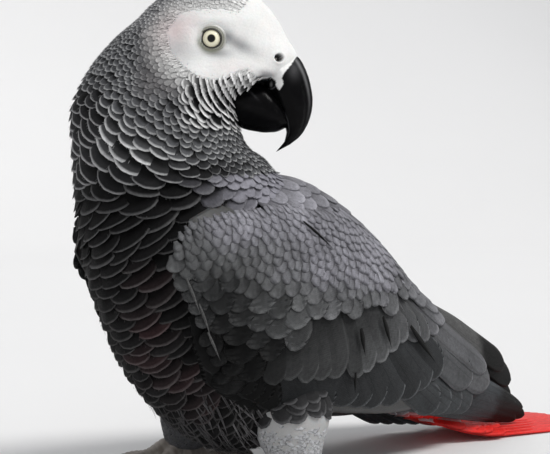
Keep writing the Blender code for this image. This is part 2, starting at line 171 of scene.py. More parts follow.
def body_points(t, q):
    """Points of the outer surface; t runs from the tail to the crown, q in radians round it."""
    t, q = np.broadcast_arrays(np.asarray(t, float), np.asarray(q, float))
    k = spline(BODY[:, 0], BODY[:, 1:], t.ravel())
    x, y, z, w, dd, dv, egg, turn, tilt = k.T
    a, b = np.radians(turn), np.radians(tilt)
    zero = np.zeros_like(a)
    side = np.stack([np.cos(a), -np.sin(a), zero], 1)
    back = np.stack([np.sin(a) * np.cos(b), np.cos(a) * np.cos(b), np.sin(b)], 1)
    c, s = np.cos(q.ravel()), np.sin(q.ravel())
    along = s * ((dd + dv) / 2 + (dd - dv) / 2 * s)
    p = np.stack([x, y, z], 1) + side * (w * c * (1 - egg * s))[:, None] + back * along[:, None]
    return p.reshape(t.shape + (3,))


def body_frame(t, q):
    """Point, the direction towards the tail along the surface, round it, and outward normal."""
    p = body_points(t, q)
    e = 0.002
    dt = body_points(np.clip(t + e, 0, 0.996), q) - body_points(np.clip(t - e, 0, 0.996), q)
    dq = body_points(t, q + 0.01) - body_points(t, q - 0.01)
    n = unit(np.cross(dt, dq))
    k = spline(BODY[:, 0], BODY[:, 1:4], np.ravel(t)).reshape(np.shape(t) + (3,))
    n = n * np.sign(np.sum(n * (p - k), -1, keepdims=True) + 1e-9)
    return p, -unit(dt), unit(dq), n


def hull_of(grid, top=None, bottom=None, wrap=True):
    """Nearest-point finder over a grid of points."""
    nt, nq = grid.shape[:2]
    verts = [tuple(v) for v in grid.reshape(-1, 3)]
    faces = []
    for i in range(nt - 1):
        for j in range(nq if wrap else nq - 1):
            k = (j + 1) % nq
            faces.append((i * nq + j, i * nq + k, (i + 1) * nq + k, (i + 1) * nq + j))
    for point, row in ((top, nt - 1), (bottom, 0)):
        if point is not None:
            verts.append(tuple(point))
            for j in range(nq):
                faces.append((row * nq + j, row * nq + (j + 1) % nq, len(verts) - 1))
    return BVHTree.FromPolygons(verts, faces)


def settle(bvh, points, inside):
    """Nearest surface points and their outward normals; inside is a point well within."""
    flat = points.reshape(-1, 3)
    p, n = np.empty_like(flat), np.empty_like(flat)
    find = bvh.find_nearest
    for i, v in enumerate(flat):
        a, b, _, _ = find(v)
        p[i], n[i] = a, b
    out = inside(p)
    n *= np.sign(np.sum(n * out, 1))[:, None]
    return p.reshape(points.shape), n.reshape(points.shape)


hull_t = np.concatenate([np.linspace(0, 0.74, 90), np.linspace(0.745, 0.996, 110)])
hull_q = np.linspace(0, 2 * math.pi, 160, endpoint=False)
hull_grid = body_points(hull_t[:, None], hull_q[None, :])
BODY_HULL = hull_of(hull_grid, top=CROWN, bottom=(0, 128.0, 12.5))
AXIS = spline(BODY[:, 0], BODY[:, 1:4], np.linspace(0, 0.996, 120))


def body_outward(p):
    near = np.empty_like(p)
    for a in range(0, len(p), 4096):
        d = ((p[a:a + 4096, None] - AXIS[None]) ** 2).sum(-1)
        near[a:a + 4096] = AXIS[d.argmin(1)]
    return p - near


# ------------------------------------------------------------------ bare face
# outline of the bare white skin, forward and up from the middle of the head
BARE = np.array([
    (-12.0, 15.0), (-5.0, 16.6), (3.0, 16.6), (9.0, 15.6), (11.5, 18.0), (13.5, 22.5), (17.0, 26.0), (34.0, 24.0),
    (34.0, -6.0), (24.0, -13.5), (17.0, -9.0), (12.5, -4.6), (9.0, -5.4), (4.6, -8.4), (0.0, -9.2),
    (-5.0, -8.0), (-11.0, -3.6), (-15.0, 1.0), (-16.8, 8.0),
])


def bare_distance(f, u):
    """Signed distance to the bare skin's outline: negative on the bare skin."""
    return signed_distance(BARE, f, u)


# outline of the black horn where it meets the pale cere and the feathers of the cheek
HORN = np.array([
    (30.4, 0.4), (28.2, -3.2), (25.8, -5.6), (24.9, -7.8), (25.4, -10.0), (24.0, -12.1), (22.9, -11.0), (22.5, -8.7), (21.2, -7.7), (19.7, -8.4),
    (17.5, -8.6), (15.3, -9.7), (12.8, -12.0), (10.6, -16.6), (7.4, -23.5), (5.9, -27.6), (5.9, -38.0), (42.0, -38.0), (42.0, 2.2),
])


def signed_distance(outline_, f, u):
    f, u = np.asarray(f, float), np.asarray(u, float)
    p = np.stack([f, u], -1)
    best = np.full(f.shape, 1e9)
    inside = np.zeros(f.shape, bool)
    for a, b in zip(outline_, np.roll(outline_, -1, axis=0)):
        ab = b - a
        k = np.clip(((p - a) @ ab) / (ab @ ab), 0, 1)
        best = np.minimum(best, np.linalg.norm(p - a - k[..., None] * ab, axis=-1))
        cross = (a[1] > u) != (b[1] > u)
        x = a[0] + (u - a[1]) / (b[1] - a[1] + 1e-12) * ab[0]
        inside ^= cross & (f < x)
    return np.where(inside, -best, best)


def horn_distance(f, u):
    """Signed distance to the horn's outline seen from the side: negative on the horn."""
    return signed_distance(HORN, f, u)


# ------------------------------------------------------------------ materials
def nodes_for(name):
    m = bpy.data.materials.new(name)
    m.use_nodes = True
    t = m.node_tree
    return m, t, t.nodes["Principled BSDF"]


def node(t, kind, **values):
    n = t.nodes.new(kind)
    for k, v in values.items():
        if k in n.bl_rna.properties and not n.bl_rna.properties[k].is_readonly:
            setattr(n, k, v)
        else:
            n.inputs[k].default_value = v
    return n


def maths(t, op, a, b=None, clamp=False):
    n = t.nodes.new("ShaderNodeMath")
    n.operation = op
    n.use_clamp = clamp
    for i, v in enumerate((a, b)):
        if v is None:
            continue
        if isinstance(v, (int, float)):
            n.inputs[i].default_value = v
        else:
            t.links.new(v, n.inputs[i])
    return n.outputs[0]


def ramp(t, value, lo, hi, out_lo=0.0, out_hi=1.0, soft=True):
    n = t.nodes.new("ShaderNodeMapRange")
    n.interpolation_type = "SMOOTHSTEP" if soft else "LINEAR"
    n.clamp = True
    for i, v in enumerate((value, lo, hi, out_lo, out_hi)):
        if isinstance(v, (int, float)):
            n.inputs[i].default_value = v
        else:
            t.links.new(v, n.inputs[i])
    return n.outputs[0]


def blend(t, k, a, b, mode="MIX"):
    n = t.nodes.new("ShaderNodeMix")
    n.data_type = "RGBA"
    n.blend_type = mode
    for slot, v in ((0, k), (6, a), (7, b)):
        if isinstance(v, (int, float)):
            n.inputs[slot].default_value = v
        elif isinstance(v, tuple):
            n.inputs[slot].default_value = (*v, 1.0) if len(v) == 3 else v
        else:
            t.links.new(v, n.inputs[slot])
    return n.outputs[2]


def attribute(t, name):
    n = t.nodes.new("ShaderNodeAttribute")
    n.attribute_name = name
    return n


def noise(t, coords, scale, detail=3.0, rough=0.5):
    n = t.nodes.new("ShaderNodeTexNoise")
    n.inputs["Scale"].default_value = scale
    n.inputs["Detail"].default_value = detail
    n.inputs["Roughness"].default_value = rough
    if coords is not None:
        t.links.new(coords, n.inputs["Vector"])
    return n.outputs["Fac"]


def object_coords(t):
    return t.nodes.new("ShaderNodeTexCoord").outputs["Object"]


def bump(t, shader, height, distance, strength=0.6):
    n = t.nodes.new("ShaderNodeBump")
    n.inputs["Strength"].default_value = strength
    n.inputs["Distance"].default_value = distance
    t.links.new(height, n.inputs["Height"])
    t.links.new(n.outputs["Normal"], shader.inputs["Normal"])


def plumage(name, rough=0.62, barb=0.62, barb_depth=0.00006, sheen=0.03, shaft=0.7, base=0.35, contrast=0.22, fray=0.45, mottle=0.22, spec=0.22, cover=0.42, patchy=0.0):
    """Feather surface: vane colour darker towards its covered base, partly the real darker base and partly painted
    shade under the feather that overlies it, paler rim, fine barbs running out from the shaft.
    """
    m, t, b = nodes_for(name)
    tone, edge, vane = attribute(t, "tone"), attribute(t, "edge"), attribute(t, "vane")
    xyz = t.nodes.new("ShaderNodeSeparateXYZ")
    t.links.new(vane.outputs["Vector"], xyz.inputs[0])
    x, y, e = xyz.outputs
    ax = maths(t, "ABSOLUTE", x)
    speck = noise(t, object_coords(t), 900.0, 2.0)
    ragged = noise(t, vane.outputs["Vector"], 1.6, 3.0, 0.65)
    away = maths(t, "ADD", e, maths(t, "MULTIPLY", maths(t, "SUBTRACT", ragged, 0.5), fray))
    width = edge.outputs["Alpha"]
    rim = ramp(t, away, maths(t, "MULTIPLY", width, 0.15), maths(t, "MULTIPLY", width, 1.75), 1.0, 0.0)
    line = maths(t, "ADD", y, maths(t, "MULTIPLY", ax, -0.75))
    wave = maths(t, "SINE", maths(t, "ADD", maths(t, "MULTIPLY", line, 6.283 / barb), maths(t, "MULTIPLY", ragged, 5.0)))
    barbs = maths(t, "MULTIPLY_ADD", wave, 0.5)
    barbs.node.inputs[2].default_value = 0.5
    colour = blend(t, rim, tone.outputs["Color"], edge.outputs["Color"])
    colour = blend(t, ramp(t, ax, 0.06, 0.26, 1.0 - shaft, 0.0), colour, (0.3, 0.3, 0.3), "MULTIPLY")
    deep = maths(t, "DIVIDE", e, tone.outputs["Alpha"])
    light = maths(t, "ADD", maths(t, "MULTIPLY", barbs, contrast), 1.0 - contrast / 2)
    light = maths(t, "MULTIPLY", light, maths(t, "ADD", maths(t, "MULTIPLY", speck, 0.3), 0.85))
    # painted shade: the vane darkens where it runs under the tip of the feather above it
    light = maths(t, "MULTIPLY", light, ramp(t, deep, cover, 1.15, 1.0, base))
    streak = noise(t, vane.outputs["Vector"], 0.55, 4.0, 0.7)
    light = maths(t, "MULTIPLY", light, ramp(t, streak, 0.25, 0.75, 1.0 - mottle, 1.0 + mottle, False))
    if patchy:
        blots = noise(t, object_coords(t), 75.0, 3.0, 0.6)
        light = maths(t, "MULTIPLY", light, ramp(t, blots, 0.3, 0.7, 1.0 - patchy, 1.0 + patchy, False))
    grey = t.nodes.new("ShaderNodeCombineColor")
    for i in range(3):
        t.links.new(light, grey.inputs[i])
    colour = blend(t, 1.0, colour, grey.outputs[0], "MULTIPLY")
    t.links.new(colour, b.inputs["Base Color"])
    t.links.new(ramp(t, ragged, 0.25, 0.8, rough - 0.08, rough + 0.12), b.inputs["Roughness"])
    b.inputs["Sheen Weight"].default_value = sheen
    b.inputs["Sheen Roughness"].default_value = 0.45
    b.inputs["Specular IOR Level"].default_value = spec
    bump(t, b, barbs, barb_depth, 0.7)
    return m


MATS = {
    "small": plumage("small_feathers", rough=0.78, barb=0.5, base=0.16, shaft=0.95, fray=0.4, spec=0.1, sheen=0.01),
    "body": plumage("body_feathers", rough=0.78, barb=0.62, base=0.16, shaft=0.92, spec=0.08, sheen=0.01),
    "wing": plumage("wing_feathers", rough=0.7, barb=0.8, barb_depth=0.00004, base=0.5, shaft=0.85, contrast=0.24, fray=1.5, mottle=0.34, spec=0.08, sheen=0.015, cover=0.15, patchy=0.2),
    "flight": plumage("flight_feathers", rough=0.55, barb=0.9, barb_depth=0.00006, base=0.65, shaft=0.55, contrast=0.22, fray=1.2, mottle=0.32, spec=0.12, sheen=0.01, cover=0.1, patchy=0.15),
    "tail": plumage("tail_feathers", rough=0.5, barb=0.9, barb_depth=0.00007, base=0.7, shaft=0.5, contrast=0.2),
    "fluff": plumage("leg_fluff", rough=0.85, barb=0.5, base=0.6, shaft=1.0, contrast=0.2, fray=0.3),
}


# ------------------------------------------------------------------ meshes
def mesh_object(name, verts, faces, mat, uv=None, tone=None, edge=None, vane=None, extra=None):
    """faces: list of integer arrays, one row to a face (three or four corners)."""
    me = bpy.data.meshes.new(name)
    v = world(verts).astype(np.float32)
    me.vertices.add(len(v))
    me.vertices.foreach_set("co", v.ravel())
    loops = np.concatenate([f.ravel() for f in faces]).astype(np.int32)
    sizes = np.concatenate([np.full(len(f), f.shape[1]) for f in faces]).astype(np.int32)
    me.loops.add(len(loops))
    me.loops.foreach_set("vertex_index", loops)
    me.polygons.add(len(sizes))
    me.polygons.foreach_set("loop_start", np.concatenate([[0], np.cumsum(sizes)[:-1]]).astype(np.int32))
    me.polygons.foreach_set("loop_total", sizes)
    me.polygons.foreach_set("use_smooth", np.ones(len(sizes), bool))
    me.update(calc_edges=True)
    if uv is not None:
        layer = me.uv_layers.new(name="OFBake")
        uv = np.asarray(uv)
        per_loop = uv if len(uv) == len(loops) and len(uv) != len(v) else uv[loops]
        layer.data.foreach_set("uv", per_loop.astype(np.float32).ravel())
    for label, data in (("tone", tone), ("edge", edge), *(extra or {}).items()):
        if data is not None:
            data = np.asarray(data, np.float32)
            if data.shape[1] == 3:
                data = np.concatenate([data, np.ones((len(data), 1), np.float32)], 1)
            me.attributes.new(label, "FLOAT_COLOR", "POINT").data.foreach_set("color", np.ascontiguousarray(data).ravel())
    if vane is not None:
        me.attributes.new("vane", "FLOAT_VECTOR", "POINT").data.foreach_set("vector", np.asarray(vane, np.float32).ravel())
    for one in mat if isinstance(mat, (list, tuple)) else [mat]:
        me.materials.append(one)
    me.validate()
    o = bpy.data.objects.new(name, me)
    bpy.context.scene.collection.objects.link(o)
    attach(o, "root")
    return o


def grid_faces(nt, nq, wrap=True, base=0):
    i = np.arange(nt - 1)[:, None] * nq
    j = np.arange(nq if wrap else nq - 1)[None, :]
    k = (j + 1) % nq
    return (np.stack([i + j, i + k, i + nq + k, i + nq + j], -1).reshape(-1, 4) + base).astype(np.int64)


def fan_faces(row, centre, n, flip=False):
    j = np.arange(n)
    k = (j + 1) % n
    f = np.stack([row + j, row + k, np.full(n, centre)], 1)
    return f[:, ::-1] if flip else f


def faces_outward(verts, faces):
    """Turns every face of a closed shell round if its volume comes out negative."""
    total = 0.0
    for f in faces:
        for k in range(1, f.shape[1] - 1):
            a, b, c = verts[f[:, 0]], verts[f[:, k]], verts[f[:, k + 1]]
            total += np.einsum("ij,ij->i", a, np.cross(b, c)).sum()
    return [f[:, ::-1] for f in faces] if total < 0 else faces


# ------------------------------------------------------------------ feathers
# where a feather's end starts to round off, and how squarely it does so
TAPER = {"scale": (0.56, 2.3), "arc": (0.70, 2.1), "covert": (0.68, 2.5), "quill": (0.86, 2.2), "primary": (0.9, 2.0)}


def outline(kind, b):
    """Half width along a feather, as a share of its widest."""
    if kind == "lock":
        return (0.55 + 0.45 * smooth(0.0, 0.3, b)) * (1 - smooth(0.35, 1.0, b) * 0.94)
    body = {"scale": 0.42 + 0.58 * smooth(0.0, 0.6, b), "arc": 0.5 + 0.5 * smooth(0.0, 0.6, b), "covert": 0.5 + 0.5 * smooth(0.0, 0.5, b),
            "quill": 0.62 + 0.38 * smooth(0.0, 0.45, b), "primary": (0.75 + 0.25 * smooth(0.0, 0.3, b)) * (1 - 0.35 * smooth(0.55, 1.0, b))}[kind]
    start, power = TAPER[kind]
    return body * np.sqrt(np.clip(1 - (np.clip((b - start) / (1 - start), 0, 1)) ** power, 0, 1))


def end_line(kind, r):
    """How far along the feather its rounded end lies, at a share r of the full half width."""
    start, power = TAPER[kind]
    return start + (1 - start) * np.clip(1 - np.clip(r, 0, 1) ** 2, 0, 1) ** (1 / power)


class Coat:
    """Joined feathers of one piece."""

    def __init__(self, name):
        self.name = name
        self.verts, self.faces, self.tone, self.edge, self.vane, self.uv = [], [], [], [], [], []
        self.count = 0

    def add(self, place, length, width, kind, tone, edge, uv, sections=8, across=7, under=3, z_root=-3.0,
            z_tip=0.0, power=1.0, camber=0.10, thick=0.22, edge_width=0.6, bend=0.0, curl=0.0, ragged=0.0, show=None):
        """place(x, y) maps flat feather coordinates (N, m, 3 columns) to points and normals."""
        length, width = np.asarray(length, float), np.asarray(width, float)
        n = len(length)
        if not n:
            return
        s = np.linspace(0, 1, sections)
        b = 1 - (1 - s) ** 1.55
        half = np.maximum(outline(kind, b), 0.05)
        rx = np.concatenate([np.linspace(-1, 1, across), np.linspace(1, -1, under + 2)[1:-1]])
        low_side = np.concatenate([np.zeros(across), np.ones(under)])
        k = len(rx)
        y = length[:, None] * b[None]
        hw = width[:, None] / 2 * half[None]
        bend = np.broadcast_to(np.asarray(bend, float), (n,))
        drift = bend[:, None] * (y ** 2) / np.maximum(length[:, None], 1e-6)
        points, normals = place(np.stack([drift - hw, drift, drift + hw], -1), np.repeat(y[..., None], 3, -1))
        w = np.abs(rx)[None, None, :, None]
        left = (rx < 0)[None, None, :, None]
        end_p = np.where(left, points[:, :, None, 0], points[:, :, None, 2])
        end_n = np.where(left, normals[:, :, None, 0], normals[:, :, None, 2])
        p = points[:, :, None, 1] * (1 - w) + end_p * w
        nn = unit(normals[:, :, None, 1] * (1 - w) + end_n * w)
        z_root, z_tip, curl, camber = (np.broadcast_to(np.asarray(v, float), (n,))[:, None, None]
                                       for v in (z_root, z_tip, curl, camber))
        bb = b[None, :, None]
        z = z_root + (z_tip - z_root) * bb ** power + curl * bb ** 4
        z = z - camber * (hw[..., None]) * (rx ** 2)[None, None]
        z = z + 0.04 * (1 - np.abs(rx))[None, None] ** 6
        z = z - low_side[None, None] * thick * (1 - 0.7 * bb)
        verts = p + nn * z[..., None]
        if ragged:
            out = (np.abs(rx) > 0.5)[None, None] * ragged
            jig = rng.normal(size=(n, sections, k)) * out * smooth(0.3, 0.8, b)[None, :, None]
            verts = verts + (p - points[:, :, None, 1]) / np.maximum(width[:, None, None, None], 1e-6) * jig[..., None]
        side_rim = (1 - np.abs(rx))[None, None] * hw[..., None]
        if kind in ("scale", "arc", "covert"):
            r = np.abs(rx)[None] * half[:, None]
            rim = (length[:, None, None] * np.maximum(end_line(kind, r) - b[:, None], 0)[None]) * 0.9 + 0 * side_rim
        else:
            rim = np.minimum(side_rim, (length[:, None] * (1 - b))[..., None] * 0.9)
        vane = np.stack([rx[None, None] * hw[..., None] + 0 * bb, np.repeat(y[..., None], k, -1), rim], -1)
        ids = np.arange(sections * k).reshape(sections, k)
        quads = np.stack([ids[:-1], np.roll(ids, -1, 1)[:-1], np.roll(ids, -1, 1)[1:], ids[1:]], -1).reshape(-1, 4)
        fan = np.arange(1, k - 1)
        caps = np.concatenate([
            np.stack([np.full(k - 2, 0), fan + 1, fan], 1),
            np.stack([np.full(k - 2, 0), fan, fan + 1], 1) + (sections - 1) * k])
        first = self.count + np.arange(n)[:, None, None] * (sections * k)
        one = faces_outward(verts[0].reshape(-1, 3), [quads, caps])
        self.faces.append((one[0][None] + first).reshape(-1, 4))
        self.faces.append((one[1][None] + first).reshape(-1, 3))
        self.count += n * sections * k
        self.verts.append(verts.reshape(-1, 3))
        self.vane.append(vane.reshape(-1, 3))
        size = sections * k
        tone, edge = np.broadcast_to(np.asarray(tone, float), (n, 3)), np.broadcast_to(np.asarray(edge, float), (n, 3))
        ew = np.broadcast_to(np.asarray(edge_width, float), (n,))
        show = length * 0.4 if show is None else np.broadcast_to(np.asarray(show, float), (n,))
        self.tone.append(np.repeat(np.concatenate([tone, show[:, None]], 1), size, 0))
        self.edge.append(np.repeat(np.concatenate([edge, ew[:, None]], 1), size, 0))
        local = np.stack([np.broadcast_to(rx * 0.5, (sections, k)), np.broadcast_to(b[:, None] - 0.5, (sections, k))], -1)
        self.uv.append((np.clip(uv, 0.004, 0.996)[:, None] + local.reshape(1, -1, 2) * 0.003).reshape(-1, 2))

    def finish(self, mat, replaces=()):
        quads = [f for f in self.faces if f.shape[1] == 4]
        tris = [f for f in self.faces if f.shape[1] == 3]
        o = mesh_object(self.name, np.concatenate(self.verts), [np.concatenate(quads), np.concatenate(tris)], mat,
                        uv=np.concatenate(self.uv), tone=np.concatenate(self.tone), edge=np.concatenate(self.edge),
                        vane=np.concatenate(self.vane))
        if replaces:
            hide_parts(*replaces)
        count = sum(len(f) for f in quads) * 2 + sum(len(f) for f in tris)
        print(self.name, "triangles", count)
        return o


def on_hull(bvh, outward, root, lie, normal):
    """Feathers laid on a hull: flat coordinates are carried to the nearest surface point."""
    lie = unit(lie - normal * np.sum(lie * normal, -1, keepdims=True))
    side = np.cross(lie, normal)

    def place(x, y):
        p = root[:, None, None] + side[:, None, None] * x[..., None] + lie[:, None, None] * y[..., None]
        return settle(bvh, p, outward)
    return place


# ------------------------------------------------------------------ wing surface
WING_PITCH = math.radians(24.3)
E1 = np.array([0.0, math.cos(WING_PITCH), -math.sin(WING_PITCH)])
E2 = np.array([0.0, math.sin(WING_PITCH), math.cos(WING_PITCH)])
WRIST = np.array([0.0, -50.0, 85.0])
WING_SHIFT = {
    "left": np.array([(0.0, 0.0, 1.5, -1.5), (60.0, 0.0, 0.0, 0.0), (150.0, 0.0, 0.0, 0.5)]),
    "right": np.array([(0.0, 0.0, 7.5, 3.0), (60.0, 0.0, 8.0, -5.5), (150.0, 0.0, 20.0, -13.0)]),
}
PRIMARY_SHIFT = {
    "left": np.array([(0.0, 0.0, 1.5, -1.5), (80.0, 0.0, 0.0, 0.0), (160.0, 0.0, 0.0, 0.6)]),
    "right": np.array([(0.0, 0.0, 7.5, 3.0), (80.0, 0.0, 9.0, -6.0), (160.0, 1.0, 9.0, 2.0)]),
}
WING_FORM = np.array([
    (-14.0, 8.0, 37.5, 24.0), (0.0, 9.0, 43.0, 34.0), (25.0, 11.0, 46.0, 42.5), (55.0, 13.0, 46.5, 49.0),
    (90.0, 13.5, 43.0, 44.0), (120.0, 12.5, 37.5, 36.0), (150.0, 13.0, 31.0, 28.5), (180.0, 14.5, 24.5, 21.0),
    (205.0, 15.5, 18.0, 14.0), (222.0, 16.0, 13.5, 10.0), (232.0, 16.0, 11.5, 8.5),
])
# s, back edge angle, belly edge angle, thickness
PLATE = np.array([
    (-13.5, 12.0, -14.0, 2.0), (-11.0, 24.0, -24.0, 4.4), (-4.0, 38.0, -33.0, 6.4), (8.0, 50.0, -40.0, 7.4),
    (28.0, 62.0, -50.0, 7.4), (50.0, 72.0, -62.0, 6.4), (66.0, 78.0, -69.0, 5.6), (85.0, 83.0, -69.0, 5.0),
    (105.0, 87.0, -65.0, 4.6), (128.0, 88.5, -55.0, 4.2), (150.0, 88.5, -34.0, 3.8), (170.0, 88.0, -12.0, 3.4),
    (184.0, 87.0, 6.0, 2.8),
])
PRIMARY_INSET = np.array([(74.0, 6.6), (100.0, 5.8), (130.0, 5.2), (160.0, 4.6), (184.0, 3.8), (204.0, 2.0), (220.0, 1.0), (232.0, 0.6)])

WS = np.arange(-16.0, 240.1, 1.0)
WQ = np.radians(np.linspace(-89.5, 96.0, 260))
wing_form = spline(WING_FORM[:, 0], WING_FORM[:, 1:], np.clip(WS, -14, 232))
wc, wa, wb = (wing_form[:, k][:, None] for k in range(3))
wing_x = wa * np.where(WQ > 0, np.cos(WQ), np.maximum(np.cos(WQ), 0) ** 0.42)[None]
wing_h = wc + wb * np.sin(WQ)[None]
wing_g = np.concatenate([np.zeros((len(WS), 1)), np.cumsum(np.hypot(np.diff(wing_x, axis=1), np.diff(wing_h, axis=1)), axis=1)], 1)
zero_q = int(np.argmin(np.abs(WQ)))
wing_g = wing_g - wing_g[:, zero_q:zero_q + 1]
WG = np.arange(-100.0, 110.1, 1.0)


def wing_table(side, shift):
    """Points on a regular (s, g) table, g being the distance round the wing from its widest line."""
    sign = 1 if side == "left" else -1
    x, h = np.empty((len(WS), len(WG))), np.empty((len(WS), len(WG)))
    for i in range(len(WS)):
        x[i] = np.interp(WG, wing_g[i], wing_x[i])
        h[i] = np.interp(WG, wing_g[i], wing_h[i])
        for past, a, b in ((WG > wing_g[i, -1], -1, -12), (WG < wing_g[i, 0], 0, 12)):
            way = np.array([wing_x[i, a] - wing_x[i, b], wing_h[i, a] - wing_h[i, b]])
            way /= np.linalg.norm(way)
            far = np.abs(WG[past] - wing_g[i, a])
            x[i, past], h[i, past] = wing_x[i, a] + way[0] * far, wing_h[i, a] + way[1] * far
    p = WRIST + E1 * WS[:, None, None] + E2 * h[..., None] + np.array([1.0, 0, 0]) * x[..., None]
    p = p * np.array([sign, 1, 1]) + np.stack([np.interp(WS, shift[:, 0], shift[:, k]) for k in (1, 2, 3)], 1)[:, None]
    n = unit(np.cross(np.gradient(p, axis=0), np.gradient(p, axis=1)))
    n *= np.sign(np.sum(n[:, 100] * np.array([sign, 0, 0]), -1))[:, None, None]
    return np.concatenate([p, n], -1)


def g_of(s, h):
    """Distance round the wing for a height h above the wrist line at s."""
    s, h = np.broadcast_arrays(np.asarray(s, float), np.asarray(h, float))
    out = np.empty(s.shape)
    for k in np.ndindex(s.shape):
        i = int(np.clip(round(s[k] + 16), 0, len(WS) - 1))
        out[k] = np.interp(h[k], wing_h[i], wing_g[i])
    return out


def h_of(s, g):
    """Height above the wrist line for a distance g round the wing at s."""
    return np.array([np.interp(b, wing_g[int(np.clip(round(a + 16), 0, len(WS) - 1))], wing_h[int(np.clip(round(a + 16), 0, len(WS) - 1))]) for a, b in zip(s, g)])


def sample(table, s, g):
    a = np.clip(s + 16.0, 0, len(WS) - 1.001)
    b = np.clip(g + 100.0, 0, len(WG) - 1.001)
    i, j = a.astype(int), b.astype(int)
    u, v = (a - i)[..., None], (b - j)[..., None]
    r = table[i, j] * (1 - u) * (1 - v) + table[i + 1, j] * u * (1 - v) + table[i, j + 1] * (1 - u) * v + table[i + 1, j + 1] * u * v
    return r[..., :3], unit(r[..., 3:])


def on_wing(table, tips, angle, length, bend):
    """Feathers laid on the wing so that the tip of a straight one lands on its (s, g) place."""
    a = np.radians(angle)
    way = np.stack([np.cos(a), -np.sin(a)], -1)
    side = np.stack([np.sin(a), np.cos(a)], -1)
    root = tips - way * length[:, None] - side * (bend * length)[:, None]

    def place(x, y):
        q = root[:, None, None] + side[:, None, None] * x[..., None] + way[:, None, None] * y[..., None]
        return sample(table, q[..., 0], q[..., 1])
    return place


def wing_uv(s, g):
    return np.stack([(np.asarray(s) + 20) / 270, (np.asarray(g) + 105) / 220], -1)


def over_wing(p, margin=3.0):
    """True for points that either folded wing covers."""
    hidden = np.zeros(len(p), bool)
    for side in ("left", "right"):
        sign = 1 if side == "left" else -1
        q = p.copy()
        s = (q - WRIST) @ E1
        move = np.stack([np.interp(s, WING_SHIFT[side][:, 0], WING_SHIFT[side][:, k]) for k in (1, 2, 3)], 1)
        q = (q - move) * np.array([sign, 1, 1])
        s, h, x = (q - WRIST) @ E1, (q - WRIST) @ E2, q[:, 0]
        c, a, b = spline(WING_FORM[:, 0], WING_FORM[:, 1:], np.clip(s, -14, 232)).T
        ang = np.degrees(np.arcsin(np.clip((h - c) / b, -1, 1)))
        top, bottom, _ = spline(PLATE[:, 0], PLATE[:, 1:], np.clip(s, -13, 184)).T
        m = np.degrees(margin / np.maximum(b, 8))
        hidden |= (x > 2) & (s > -12 + margin) & (s < 180) & (ang < top - m) & (ang > bottom + m)
    return hidden


# ------------------------------------------------------------------ colours (linear)
GREY_DARK = np.array([0.050, 0.052, 0.058])
GREY_MID = np.array([0.105, 0.108, 0.118])
RIM = np.array([0.50, 0.51, 0.53])
WHITE = np.array([0.80, 0.80, 0.79])
MAUVE = np.array([0.145, 0.143, 0.163])
SLATE = np.array([0.050, 0.0525, 0.0555])
RED = np.array([0.70, 0.018, 0.014])


def vary(colour, n, amount=0.12, seed_shift=0):
    k = rng.normal(size=(n, 1)) * amount
    return np.clip(np.broadcast_to(colour, (n, 3)) * (1 + k), 0.004, 0.95)


# ------------------------------------------------------------------ skin
def coat_depth(t, p):
    """How far the skin lies under the tips of the coat."""
    f, u, _ = head_coords(p)
    d = np.interp(t, [0.0, 0.2, 0.4, 0.6, 0.72, 0.80, 0.86, 1.0], [2.5, 3.5, 4.2, 4.0, 3.8, 3.0, 1.5, 1.2])
    bare = smooth(-0.5, 3.5, bare_distance(f, u))
    return np.where(t > 0.79, d * bare * smooth(0.79, 0.83, t) + d * (1 - smooth(0.79, 0.83, t)), d)


def face_relief(p, n):
    """Outward height of the bare skin's own forms: orbit, brow, nostril, cere."""
    f, u, c = head_coords(p)
    z = np.zeros(f.shape)
    r = np.hypot(f - EYE_AT[0], u - EYE_AT[1])
    z -= 0.75 * np.exp(-((r - 4.6) / 2.2) ** 2)                       # hollow round the eye
    z += 0.45 * np.exp(-((f - 0.5) / 6.5) ** 2 - ((u - 12.2) / 2.0) ** 2)   # brow
    z += 0.07 * np.sin(r * 6.283 / 0.85) * np.exp(-((r - 5.2) / 1.5) ** 2)   # fine folds of the lids
    z -= 0.5 * np.exp(-((f - 11.0) / 5.5) ** 2 - ((u - 2.0 + 0.25 * (f - 11)) / 2.6) ** 2)  # lores
    nr = np.hypot(f - 23.5, u + 0.5)
    near = np.abs(c) > 5
    z += near * 0.55 * np.exp(-(nr / 4.2) ** 2)                        # swollen cere
    z += near * 0.32 * np.exp(-((nr - 2.05) / 0.55) ** 2)              # raised rim
    z -= near * 2.1 * (1 - smooth(0.9, 1.7, nr))
    z += near * 1.2 * np.exp(-(np.hypot(f - 23.0, u + 0.9) / 0.6) ** 2)   # the plug inside the nostril
    z -= near * 0.5 * np.exp(-((horn_distance(f, u) - 0.1) / 0.7) ** 2) * smooth(-13, -9, u)   # the cere ends in a step
    z += near * 0.35 * np.exp(-((f - 19.2) / 2.6) ** 2 - ((u + 6.6) / 1.2) ** 2)   # soft skin at the gape
    z += 0.05 * wobble(p, 1.1, 3) * smooth(1, -1, bare_distance(f, u))
    return z


